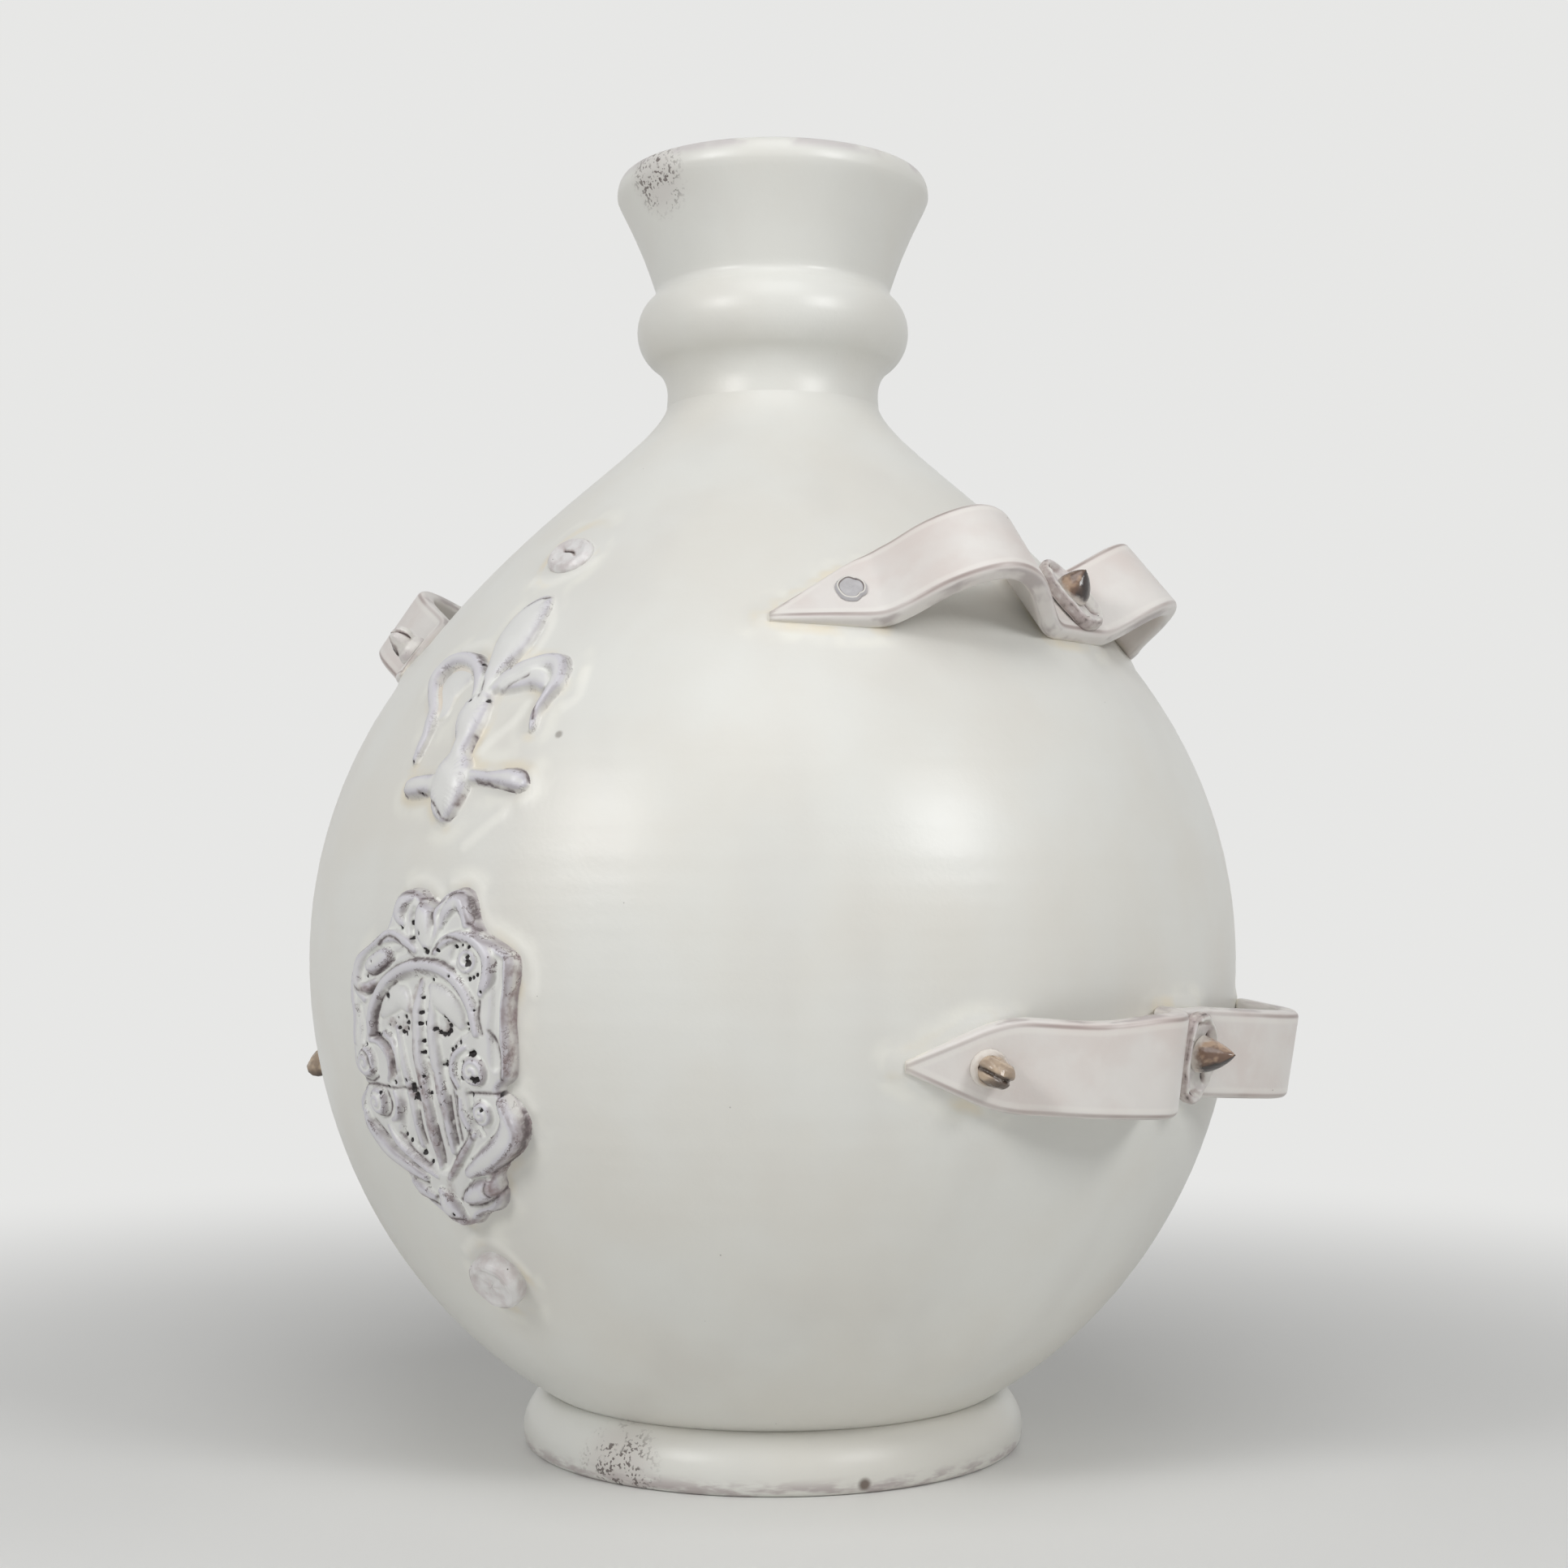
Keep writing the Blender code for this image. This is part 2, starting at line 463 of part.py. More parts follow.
class Strap:
    """One strap: its place on the globe, and the curve that it follows."""

    def __init__(self, name, side, height, arches, droop):
        self.name = name
        self.side = side
        self.height = height
        self.droop = droop
        self.path = smooth_through(arches, 2)
        self.radius, self.normal = globe_at(height)

    def point(self, length, rise):
        """A point over the strap's line on the globe, by arc length and height above the globe."""
        azimuth = self.side * (PINCH_AZIMUTH + math.degrees(length / self.radius))
        outward = compass(azimuth)[0]
        return (outward * (self.radius + self.normal.x * rise)
                + Vector((0.0, 0.0, self.height + self.normal.y * rise)))

    def station(self, index):
        """The strap at a station: its middle, width and outward directions, and half sizes."""
        rows = [self.path[max(index - 1, 0)], self.path[index], self.path[min(index + 1, len(self.path) - 1)]]
        lift = STRAP_THICKNESS / 2 - STRAP_SINK
        before, middle, after = (self.point(row.x, row.y + lift) for row in rows)
        here = rows[1].x
        outward = compass(self.side * (PINCH_AZIMUTH + math.degrees(here / self.radius)))[0]
        across = (outward * -self.normal.y + Vector((0.0, 0.0, self.normal.x))).normalized()
        steps = [step.normalized() for step in (middle - before, after - middle) if step.length > 0]
        out = sum(steps, Vector()).cross(across).normalized() * self.side
        fullness = min(1.0, (here - self.path[0].x) / POINT_LENGTH, (self.path[-1].x - here) / POINT_LENGTH)
        half_width = POINT_BLUNTNESS + (STRAP_WIDTH / 2 - POINT_BLUNTNESS) * fullness
        half_thick = STRAP_THICKNESS / 2 * (1 - POINT_THINNING * (1 - fullness))
        middle = middle - across * self.droop * (1 - fullness) - out * (STRAP_THICKNESS / 2 - half_thick)
        return middle, across, out, half_width, half_thick

    def top_at(self, length):
        """The middle of the strap's outer face nearest to a length, and the direction outwards."""
        index = min(range(len(self.path)), key=lambda i: abs(self.path[i].x - length))
        tops = []
        for i in (index - 1, index, index + 1):
            middle, across, out, half_width, half_thick = self.station(i)
            tops.append(middle + out * half_thick)
        return tops[1], (tops[2] - tops[0]).cross(across).normalized() * self.side


def strap_section(strap, index):
    """The eight corners of the strap's rounded section at a station."""
    middle, across, out, half_width, half_thick = strap.station(index)
    round_off = min(STRAP_ROUNDING, half_width * 0.6, half_thick * 0.6)
    corners = ((-half_width, -half_thick + round_off), (-half_width + round_off, -half_thick),
               (half_width - round_off, -half_thick), (half_width, -half_thick + round_off),
               (half_width, half_thick - round_off), (half_width - round_off, half_thick),
               (-half_width + round_off, half_thick), (-half_width, half_thick - round_off))
    return [middle + across * a + out * b for a, b in corners]


def loft(name, sections):
    """A closed mesh through rings of corners, with both ends capped."""
    builder = bmesh.new()
    rings = [[builder.verts.new(point) for point in section] for section in sections]
    for ring, following in zip(rings, rings[1:]):
        for i in range(len(ring)):
            j = (i + 1) % len(ring)
            builder.faces.new((ring[i], ring[j], following[j], following[i]))
    builder.faces.new(rings[0])
    builder.faces.new(rings[-1])
    bmesh.ops.recalc_face_normals(builder, faces=builder.faces[:])
    mesh = bpy.data.meshes.new(name)
    builder.to_mesh(mesh)
    builder.free()
    mesh.shade_smooth()
    return mesh


def make_strap(strap, cutter, collection):
    """Loft the strap through its sections, and hollow its underside to the globe."""
    mesh = loft(strap.name, [strap_section(strap, i) for i in range(len(strap.path))])
    cut(add_object(strap.name, mesh, collection, STRAP_GLAZE), cutter)


def stand_on(item, spot, direction):
    """Stand a turned piece on a spot, with its axis along a direction."""
    item.location = spot
    item.rotation_mode = "QUATERNION"
    item.rotation_quaternion = direction.to_track_quat("Z", "Y")


def keeper_outline():
    """A dished disc with a raised rim and a flat middle for its spike."""
    rim = KEEPER_RADIUS - 0.0016
    return [(0.0, KEEPER_THICKNESS), (SPIKE_RADIUS, KEEPER_THICKNESS),
            ((SPIKE_RADIUS + rim) / 2, KEEPER_THICKNESS - KEEPER_DISH), (rim, KEEPER_THICKNESS),
            (KEEPER_RADIUS, KEEPER_THICKNESS * 0.6), (KEEPER_RADIUS - 0.0006, 0.0), (0.0, 0.0)]


def spike_outline(radius, height, collar):
    """A blunt thorn that swells from its foot; collar is the radius of the foot."""
    return [(0.0, height), (SPIKE_TIP * 0.8, height - SPIKE_TIP * 0.3),
            (SPIKE_TIP * 1.4, height - SPIKE_TIP * 1.4), (radius * 0.62, height * 0.5),
            (radius * 0.88, height * 0.25), (collar, height * 0.08), (collar, 0.0), (0.0, 0.0)]


def stump_outline():
    """The worn stump where a stud has broken away."""
    return [(0.0, STUMP_HEIGHT * 0.8), (STUMP_RADIUS * 0.7, STUMP_HEIGHT), (STUMP_RADIUS, STUMP_HEIGHT * 0.5),
            (STUMP_RADIUS, 0.0), (0.0, 0.0)]


def dress_strap(strap, collection):
    """Set the keeper, its spike and the two studs on a strap."""
    top, out = strap.top_at(0.0)
    keeper = turned(strap.name.replace("strap", "keeper"), keeper_outline(), KEEPER_STEPS, collection,
                    THIN_GLAZE)
    stand_on(keeper, top + out * SEAM, out)
    keeper.scale = (KEEPER_PINCH, 1.0, 1.0)
    thorn = spike_outline(SPIKE_RADIUS, SPIKE_HEIGHT, SPIKE_RADIUS)
    spike = turned(strap.name.replace("strap", "spike"), thorn, SPIKE_STEPS, collection, BRONZE_GLAZE)
    stand_on(spike, top + out * (KEEPER_THICKNESS + 2 * SEAM), out)
    ends = {"front": strap.path[0].x + STUD_SETBACK, "rear": strap.path[-1].x - STUD_SETBACK}
    for end, length in ends.items():
        top, out = strap.top_at(length)
        name = strap.name.replace("strap", end + "_stud")
        worn = name == "right_upper_front_stud"
        outline = stump_outline() if worn else spike_outline(STUD_RADIUS, STUD_HEIGHT, STUD_COLLAR)
        stud = turned(name, outline, SPIKE_STEPS, collection, THIN_GLAZE if worn else BRONZE_GLAZE)
        stand_on(stud, top + out * SEAM, out)


def make_button(name, place, outline, cutter, collection):
    """Press a button on the front of the globe, at a place in the relief tables."""
    button = turned(name, outline, SMALL_STEPS, collection, THIN_GLAZE)
    stand_on(button, on_front(*place, -BUTTON_SINK), outward_on_front(*place))
    cut(button, cutter)


def dome_outline():
    """A low domed button, with a foot that sinks below the globe's skin."""
    steps = 4
    crown = []
    for i in range(steps + 1):
        angle = math.radians(90.0 * (1 - i / steps))
        crown.append((BUTTON_RADIUS * math.cos(angle), BUTTON_SINK + DOME_HEIGHT * math.sin(angle)))
    return crown + [(BUTTON_RADIUS, -BUTTON_SINK), (0.0, -BUTTON_SINK)]


def disc_outline():
    """A thick flat button with a raised rim."""
    top = BUTTON_SINK + DISC_HEIGHT
    return [(0.0, top - DISC_RIM * 0.5), (BUTTON_RADIUS - 2 * DISC_RIM, top - DISC_RIM * 0.5),
            (BUTTON_RADIUS - DISC_RIM, top), (BUTTON_RADIUS, top - DISC_RIM * 0.6),
            (BUTTON_RADIUS, -BUTTON_SINK), (0.0, -BUTTON_SINK)]


def relief_place(sideways, row):
    """Arc length sideways and height in metres, from a place in the relief tables."""
    return sideways * RELIEF_UNIT, BELLY_HEIGHT + (row - BELLY_ROW) * RELIEF_UNIT


def on_front(sideways, row, lift):
    """A point on the front of the globe at a place in the relief tables, lifted off its skin."""
    arc, height = relief_place(sideways, row)
    radius, normal = globe_at(height)
    outward = compass(math.degrees(arc / radius))[0]
    return outward * (radius + normal.x * lift) + Vector((0.0, 0.0, height + normal.y * lift))


def outward_on_front(sideways, row):
    """The direction square to the globe's front at a place in the relief tables."""
    return (on_front(sideways, row, RELIEF_UNIT) - on_front(sideways, row, 0.0)).normalized()


def roll_mesh(name, rows, lift, swell):
    """A roll of clay, domed above its ground; rows give sideways place, height, half width and rise."""
    rows = smooth_through(rows, ROLL_STEPS)
    spots = [on_front(row[0], row[1], lift) for row in rows]
    sections = []
    for i, (sideways, level, half_width, rise) in enumerate(rows):
        along = (spots[min(i + 1, len(spots) - 1)] - spots[max(i - 1, 0)]).normalized()
        out = outward_on_front(sideways, level)
        across = out.cross(along).normalized()
        wide = half_width * RELIEF_UNIT + swell
        high = rise * RELIEF_UNIT + swell
        sections.append([spots[i] + across * wide * a + out * b for a, b in (
            (-1.0, -ROLL_DEPTH), (1.0, -ROLL_DEPTH), (1.0, high * 0.3), (0.72, high * 0.8),
            (0.0, high), (-0.72, high * 0.8), (-1.0, high * 0.3))])
    return loft(name, sections)


def make_rolls(rolls, lift, cutter, collection, cutters):
    """Lay each roll on its ground, and cut it back to the rolls that it leans against."""
    for name, rows, neighbours in rolls:
        item = add_object(name, roll_mesh(name, rows, lift, 0.0), collection, THIN_GLAZE)
        cut(item, cutter)
        for neighbour in neighbours:
            rows_beside = next(other for label, other, _ in rolls if label == neighbour)
            swollen = roll_mesh(name + "_beside_" + neighbour, rows_beside, lift, SEAM)
            cut(item, hide_as_cutter(add_object(swollen.name, swollen, cutters, THIN_GLAZE)))


def make_plate(envelope, cutter, collection):
    """Cut the shield's plate from a thick slab, between the globe's skin and a skin outside it."""
    data = bpy.data.curves.new("shield_plate", "CURVE")
    data.dimensions = "2D"
    data.fill_mode = "BOTH"
    data.extrude = PLATE_STOCK / 2
    spline = data.splines.new("POLY")
    spline.points.add(len(PLATE_OUTLINE) - 1)
    spline.use_cyclic_u = True
    for point, corner in zip(spline.points, PLATE_OUTLINE):
        point.co = (*relief_place(*corner), 0.0, 1.0)
    slab = bpy.data.objects.new("shield_plate", data)
    upright = Matrix.Rotation(math.radians(90), 4, "X")
    slab.matrix_world = Matrix.Translation((0.0, -GLOBE_RADIUS, 0.0)) @ upright
    bpy.context.scene.collection.objects.link(slab)
    bpy.context.view_layer.update()
    mesh = bpy.data.meshes.new_from_object(slab.evaluated_get(bpy.context.evaluated_depsgraph_get()))
    mesh.transform(slab.matrix_world)
    bpy.data.objects.remove(slab, do_unlink=True)
    builder = bmesh.new()
    builder.from_mesh(mesh)
    bmesh.ops.remove_doubles(builder, verts=builder.verts[:], dist=0.00001)
    bmesh.ops.recalc_face_normals(builder, faces=builder.faces[:])
    builder.to_mesh(mesh)
    builder.free()
    mesh.materials.clear()
    item = add_object("shield_plate", mesh, collection, THIN_GLAZE)
    cut(item, envelope, "INTERSECT")
    cut(item, cutter)


def make_bosses(lift, cutter, collection):
    """Press the round bosses and volutes on the plate."""
    for name, sideways, row, radius, rise in SHIELD_BOSSES:
        radius *= RELIEF_UNIT
        steps = 3
        outline = []
        for i in range(steps + 1):
            angle = math.radians(90.0 * (1 - i / steps))
            outline.append((radius * math.cos(angle), rise * RELIEF_UNIT * math.sin(angle)))
        outline += [(radius, -BOSS_DEPTH), (0.0, -BOSS_DEPTH)]
        boss = turned(name, outline, SMALL_STEPS, collection, THIN_GLAZE)
        stand_on(boss, on_front(sideways, row, lift), outward_on_front(sideways, row))
        cut(boss, cutter)


def build():
    """Build the whole vase."""
    clear_scene()
    vase = new_collection("globe_vase")
    cutters = new_collection("cutters")
    make_globe(vase)
    make_collar(vase)
    make_funnel(vase)
    make_foot(vase)
    skin = globe_cutter("globe_skin", SEAM, cutters)
    plate_face = globe_cutter("plate_face", SEAM + PLATE_THICKNESS, cutters)
    plate_skin = globe_cutter("plate_skin", SEAM + PLATE_THICKNESS + SEAM, cutters)
    straps = (
        Strap("right_lower_strap", 1, RIGHT_LOWER_HEIGHT, LOWER_ARCHES, 0.0),
        Strap("left_lower_strap", -1, LEFT_LOWER_HEIGHT, LOWER_ARCHES, 0.0),
        Strap("right_upper_strap", 1, RIGHT_UPPER_HEIGHT, UPPER_ARCHES, UPPER_POINT_DROOP),
        Strap("left_upper_strap", -1, LEFT_UPPER_HEIGHT, UPPER_ARCHES, UPPER_POINT_DROOP),
    )
    for strap in straps:
        make_strap(strap, skin, vase)
        dress_strap(strap, vase)
    make_button("upper_button", UPPER_BUTTON_PLACE, dome_outline(), skin, vase)
    make_button("lower_button", LOWER_BUTTON_PLACE, disc_outline(), skin, vase)
    make_rolls(LILY_ROLLS, SEAM, skin, vase, cutters)
    make_plate(plate_face, skin, vase)
    plate_lift = SEAM + PLATE_THICKNESS + SEAM
    make_rolls(SHIELD_ROLLS, plate_lift, plate_skin, vase, cutters)
    make_bosses(plate_lift, plate_skin, vase)


build()
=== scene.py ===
# %% [markdown]
# # Globe vase in glazed stoneware
#
# This lesson builds the visible vase round its CAD frame. Such a vase is made of clay: a globe, a foot
# ring, a neck with a fat bead and a flared mouth are thrown on a wheel, and flat straps, a lily and a
# scrolled shield are pressed on by hand. The glaze is white, and on the thorns and studs it has broken to
# brown.
#
# First the frame is loaded.

# %% Load the frame
import math

import bmesh
import bpy
import numpy as np
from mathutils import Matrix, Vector


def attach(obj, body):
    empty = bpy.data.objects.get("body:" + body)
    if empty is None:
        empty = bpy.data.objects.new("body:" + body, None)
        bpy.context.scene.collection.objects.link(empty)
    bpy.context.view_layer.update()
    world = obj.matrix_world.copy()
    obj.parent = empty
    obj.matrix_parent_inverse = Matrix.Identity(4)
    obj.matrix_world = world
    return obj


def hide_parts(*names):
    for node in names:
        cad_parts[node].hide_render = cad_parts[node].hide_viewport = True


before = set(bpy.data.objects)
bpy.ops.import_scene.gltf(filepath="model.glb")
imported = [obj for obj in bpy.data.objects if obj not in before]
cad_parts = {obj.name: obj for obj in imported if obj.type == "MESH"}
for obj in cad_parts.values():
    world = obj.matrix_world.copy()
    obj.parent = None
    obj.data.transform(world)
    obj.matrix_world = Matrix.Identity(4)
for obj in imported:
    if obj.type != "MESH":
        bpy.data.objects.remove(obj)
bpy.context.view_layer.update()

scene = bpy.context.scene
MM = 0.001

# %% [markdown]
# ## The camera
#
# The photograph looks at the vase from a little above its belly, with upright lines that stay upright.
# That is a level camera whose picture is shifted, not tilted. The ornamented front faces -Y, and the
# camera stands 38.8 degrees round from it towards +X.

# %% Camera
CAMERA_AZIMUTH = math.radians(38.8)
CAMERA_DISTANCE = 0.764
CAMERA_HEIGHT = 0.177
camera_data = bpy.data.cameras.new("photo_camera")
camera_data.lens = 54.97
camera_data.sensor_width = 36.0
camera_data.shift_x = 0.0072
camera_data.shift_y = 0.0616
camera_data.clip_start = 0.01
camera_data.clip_end = 50.0
camera = bpy.data.objects.new("photo_camera", camera_data)
scene.collection.objects.link(camera)
camera.location = (CAMERA_DISTANCE * math.sin(CAMERA_AZIMUTH), -CAMERA_DISTANCE * math.cos(CAMERA_AZIMUTH),
                   CAMERA_HEIGHT)
camera.rotation_euler = (math.radians(90.0), 0.0, CAMERA_AZIMUTH)
scene.camera = camera
print("camera at", [round(v, 3) for v in camera.location])

# %% [markdown]
# ## The globe's skin
#
# Everything on this vase is laid on the globe, so its outline comes first. It is a sphere above the
# belly, a slightly deeper ellipse below it, and a drawn-in shoulder that ends in the neck. The same
# numbers made the CAD globe, so the visible vase keeps its size.

# %% Outline of the globe
GLOBE_RADIUS = 0.1453
BELLY_HEIGHT = 0.153
LOWER_DEPTH = 0.1555
SHOULDER_HEIGHT = 0.235
SHOULDER_PULL = 0.0701
NECK_PULL = 0.0162
NECK_HEIGHT = 0.33
NECK_RADIUS = 0.0333
GLOBE_BASE = 0.007


def bezier(start, pull, push, end, count):
    """Points on a cubic curve from start to end, both ends included."""
    t = np.linspace(0.0, 1.0, count + 1)[:, None]
    a, b, c, d = (np.array(p, float) for p in (start, pull, push, end))
    return (1 - t) ** 3 * a + 3 * t * (1 - t) ** 2 * b + 3 * t * t * (1 - t) * c + t ** 3 * d


def globe_outline(neck_steps, arc_steps, lower_steps):
    """Radius and height of the globe's skin, from the neck down to the flat bottom."""
    rise = SHOULDER_HEIGHT - BELLY_HEIGHT
    shoulder_radius = math.sqrt(GLOBE_RADIUS ** 2 - rise ** 2)
    pulled = (shoulder_radius - SHOULDER_PULL * rise / GLOBE_RADIUS,
              SHOULDER_HEIGHT + SHOULDER_PULL * shoulder_radius / GLOBE_RADIUS)
    neck = bezier((shoulder_radius, SHOULDER_HEIGHT), pulled, (NECK_RADIUS, NECK_HEIGHT - NECK_PULL),
                  (NECK_RADIUS, NECK_HEIGHT), neck_steps)[::-1]
    angle = np.linspace(math.asin(rise / GLOBE_RADIUS), 0.0, arc_steps + 1)[1:]
    arc = np.column_stack((GLOBE_RADIUS * np.cos(angle), BELLY_HEIGHT + GLOBE_RADIUS * np.sin(angle)))
    angle = np.linspace(0.0, math.asin((BELLY_HEIGHT - GLOBE_BASE) / LOWER_DEPTH), lower_steps + 1)[1:]
    lower = np.column_stack((GLOBE_RADIUS * np.cos(angle), BELLY_HEIGHT - LOWER_DEPTH * np.sin(angle)))
    return np.vstack((neck, arc, lower))


def unit(vectors):
    """The vectors, each made 1 long."""
    return vectors / np.linalg.norm(vectors, axis=1)[:, None]


def offset_outline(points, distance):
    """Move an outline outwards, square to itself; a negative distance moves it inwards."""
    run = unit(np.gradient(points, axis=0))
    return points + distance * np.column_stack((-run[:, 1], run[:, 0]))


SKIN = globe_outline(200, 120, 240)[::-1]
SKIN_RUN = unit(np.gradient(SKIN, axis=0))


def skin_at(height):
    """Radius of the skin at a height, and the two parts of its outward normal."""
    radius = np.interp(height, SKIN[:, 1], SKIN[:, 0])
    out = np.interp(height, SKIN[:, 1], SKIN_RUN[:, 1])
    up = -np.interp(height, SKIN[:, 1], SKIN_RUN[:, 0])
    return radius, out, up


def on_skin(azimuth, height, lift):
    """Points over the skin: azimuth in radians from the front, height, and lift square to the skin."""
    radius, out, up = skin_at(height)
    reach = radius + out * lift
    return np.stack((reach * np.sin(azimuth), -reach * np.cos(azimuth), height + up * lift), axis=-1)


print("skin radius at the belly:", round(float(skin_at(BELLY_HEIGHT)[0]), 4))

# %% [markdown]
# ## Small tools for meshes
#
# A mesh goes from numpy arrays into one object. A surface that is a grid of rows and columns is closed by
# merging the columns that meet and the rows that shrink to a point, and its faces are turned outwards.
# Values such as "how near is the next piece of clay" are written on the points, for the glazes to read.

# %% Mesh tools
MERGE_DISTANCE = 0.000004


def close_mesh(mesh, merge=True):
    """Merge doubled points and drop collapsed faces, if asked to, and turn all faces outwards."""
    work = bmesh.new()
    work.from_mesh(mesh)
    if merge:
        bmesh.ops.remove_doubles(work, verts=work.verts[:], dist=MERGE_DISTANCE)
        bmesh.ops.dissolve_degenerate(work, edges=work.edges[:], dist=MERGE_DISTANCE / 2)
    bmesh.ops.recalc_face_normals(work, faces=work.faces[:])
    work.to_mesh(mesh)
    work.free()
    mesh.shade_smooth()


def grid_faces(rows, columns, wrap):
    """Faces between the points of a grid; wrap joins the last column to the first."""
    across = columns if wrap else columns - 1
    i, j = np.meshgrid(np.arange(rows - 1), np.arange(across), indexing="ij")
    k = (j + 1) % columns
    return np.stack((i * columns + j, i * columns + k, (i + 1) * columns + k, (i + 1) * columns + j),
                    axis=-1).reshape(-1, 4)


def add_piece(name, mesh):
    """Put a mesh in the scene as one object at the origin."""
    piece = bpy.data.objects.new(name, mesh)
    scene.collection.objects.link(piece)
    return piece


def face_mesh(name, points, faces):
    """A mesh of points and faces."""
    mesh = bpy.data.meshes.new(name)
    mesh.from_pydata([tuple(point) for point in points], [], [tuple(face) for face in faces])
    return mesh


def line_mesh(name, points):
    """A mesh of points and the edges from each to the next."""
    mesh = bpy.data.meshes.new(name)
    edges = [(i, i + 1) for i in range(len(points) - 1)]
    mesh.from_pydata([tuple(float(v) for v in point) for point in points], edges, [])
    return mesh


def with_ends(grid):
    """The grid with one more row at each end, which holds the middle of the end row."""
    first, last = (np.broadcast_to(grid[i].mean(axis=0), (1, *grid.shape[1:])) for i in (0, -1))
    return np.concatenate((first, grid, last))


def grid_piece(name, points, values):
    """A closed piece from rows of rings, whose ends shrink to a point, with values for its glaze."""
    rows, columns = points.shape[:2]
    mesh = face_mesh(name, with_ends(points).reshape(-1, 3), grid_faces(rows + 2, columns, True))
    for key, field in values.items():
        write_value(mesh, key, with_ends(field).ravel())
    close_mesh(mesh)
    return add_piece(name, mesh)


def places(mesh):
    """The mesh's points as an array."""
    flat = np.zeros(len(mesh.vertices) * 3)
    mesh.vertices.foreach_get("co", flat)
    return flat.reshape(-1, 3)


def write_value(mesh, name, values):
    """Store one number or one vector per point under a name."""
    values = np.asarray(values, np.float32)
    kind, key = ("FLOAT_VECTOR", "vector") if values.ndim == 2 else ("FLOAT", "value")
    mesh.attributes.new(name, kind, "POINT").data.foreach_set(key, values.ravel())


def ease(value, low, high):
    """0 below low, 1 above high, and a soft step between."""
    t = np.clip((value - low) / (high - low), 0.0, 1.0)
    return t * t * (3 - 2 * t)


WAVES = 7
WAVES_HEIGHT = 3.2


def unevenness(points, size, seed):
    """A smooth unevenness between about -1 and 1, with bumps of a size in metres."""
    chance = np.random.default_rng(seed)
    total = np.zeros(points.shape[:-1])
    for _ in range(WAVES):
        direction = chance.normal(size=3)
        direction *= math.tau / size / np.linalg.norm(direction) * chance.uniform(0.6, 1.5)
        total += np.sin(points @ direction + chance.uniform(0, math.tau))
    return total / WAVES_HEIGHT


print("mesh tools ready")

# %% [markdown]
# ## Tables of the applied clay
#
# The lily and the shield were measured in the photograph. A roll of clay is a row of places: how far
# sideways of the front's middle line, how high, how wide to each side and how far it stands up, in
# millimetres. Brown stains are rolls without a rise; on the shield some of these rolls are painted
# shadows and painted shade. Grooves and the white ridges of gathered glaze are lines, and two of the
# shield's grooves also paint the shadows under its capsules. A pit is a place with a radius, and one row
# of the shield's pits paints the shadows under the two lumps in its oval. A volute is a place with its
# radius, its rise and the way it winds.

# %% Tables of the relief
LILY_ROLLS = {
    "stem": ((-2.6, 227, 3.2, 2.4), (-4, 222, 5.6, 3.5), (-3.1, 215.6, 3.5, 3.1), (-3.4, 210.6, 3.6, 3.1),
        (-3.8, 204.6, 7, 3.8), (-4, 199.4, 5.8, 3.3), (-3.4, 194.6, 2, 1.8)),
    "centre petal": ((1.2, 256.4, 1.4, 1.2), (0.2, 253.6, 4.4, 2.3), (-1.2, 249.6, 6.6, 3),
        (-1.8, 245, 7.2, 3.2), (-2.4, 240, 5.4, 3.1), (-3, 235, 3.4, 2.6), (-3.2, 230.6, 2.3, 2.1),
        (-3, 227, 2, 1.9)),
    "left petal": ((-5.6, 226.6, 1.6, 1.6), (-7.4, 231.6, 1.9, 1.9), (-10, 236, 2.2, 2.4),
        (-15, 238.8, 2.4, 2.8), (-21.6, 239.6, 2.5, 3.1), (-27.6, 237.9, 2.7, 3.1),
        (-29.4, 233.4, 2.6, 3), (-26.2, 229, 2.3, 2.7), (-23, 225, 2.1, 2.4), (-22.2, 219.6, 1.9, 2),
        (-22.8, 215, 1.7, 1.7), (-24, 211, 1.2, 1.2)),
    "hollow": ((-13.4, 235.8, 2.6, 1.2), (-18.6, 234.4, 5, 1.2), (-21.6, 230.6, 5, 1),
        (-19.4, 225.6, 3, 0.6)),
    "right petal": ((-0.6, 230, 1.6, 1.7), (3.2, 233, 2.5, 2.4), (8.6, 235.2, 2.8, 2.8),
        (14.4, 236.6, 2.7, 2.9), (19.6, 235.8, 2.7, 3), (21.8, 231.4, 2.4, 2.7), (20.2, 226.8, 1.6, 2.3),
        (18.9, 222.4, 1.3, 1.9), (19.4, 218.6, 1, 1.4)),
    "petal's valley": ((3, 230.4, 1.4, 1.3), (8.4, 231.8, 2.4, 2), (14.4, 232.6, 2.8, 2.3),
        (18.6, 230.4, 2, 2)),
    "left toe": ((-5, 204.4, 2.6, 2.1), (-11, 203.6, 2.9, 2.5), (-16, 203.2, 3, 2.8),
        (-20.4, 202.9, 2.8, 2.5), (-23.2, 202.2, 1.4, 1.4)),
    "right toe": ((-3, 205.6, 2, 1.8), (4, 205.4, 1.9, 1.8), (10, 204.8, 1.8, 1.9), (16, 204.5, 2.6, 2.6),
        (20.2, 203.9, 2.9, 2.6), (22.8, 203, 1.5, 1.5)),
}
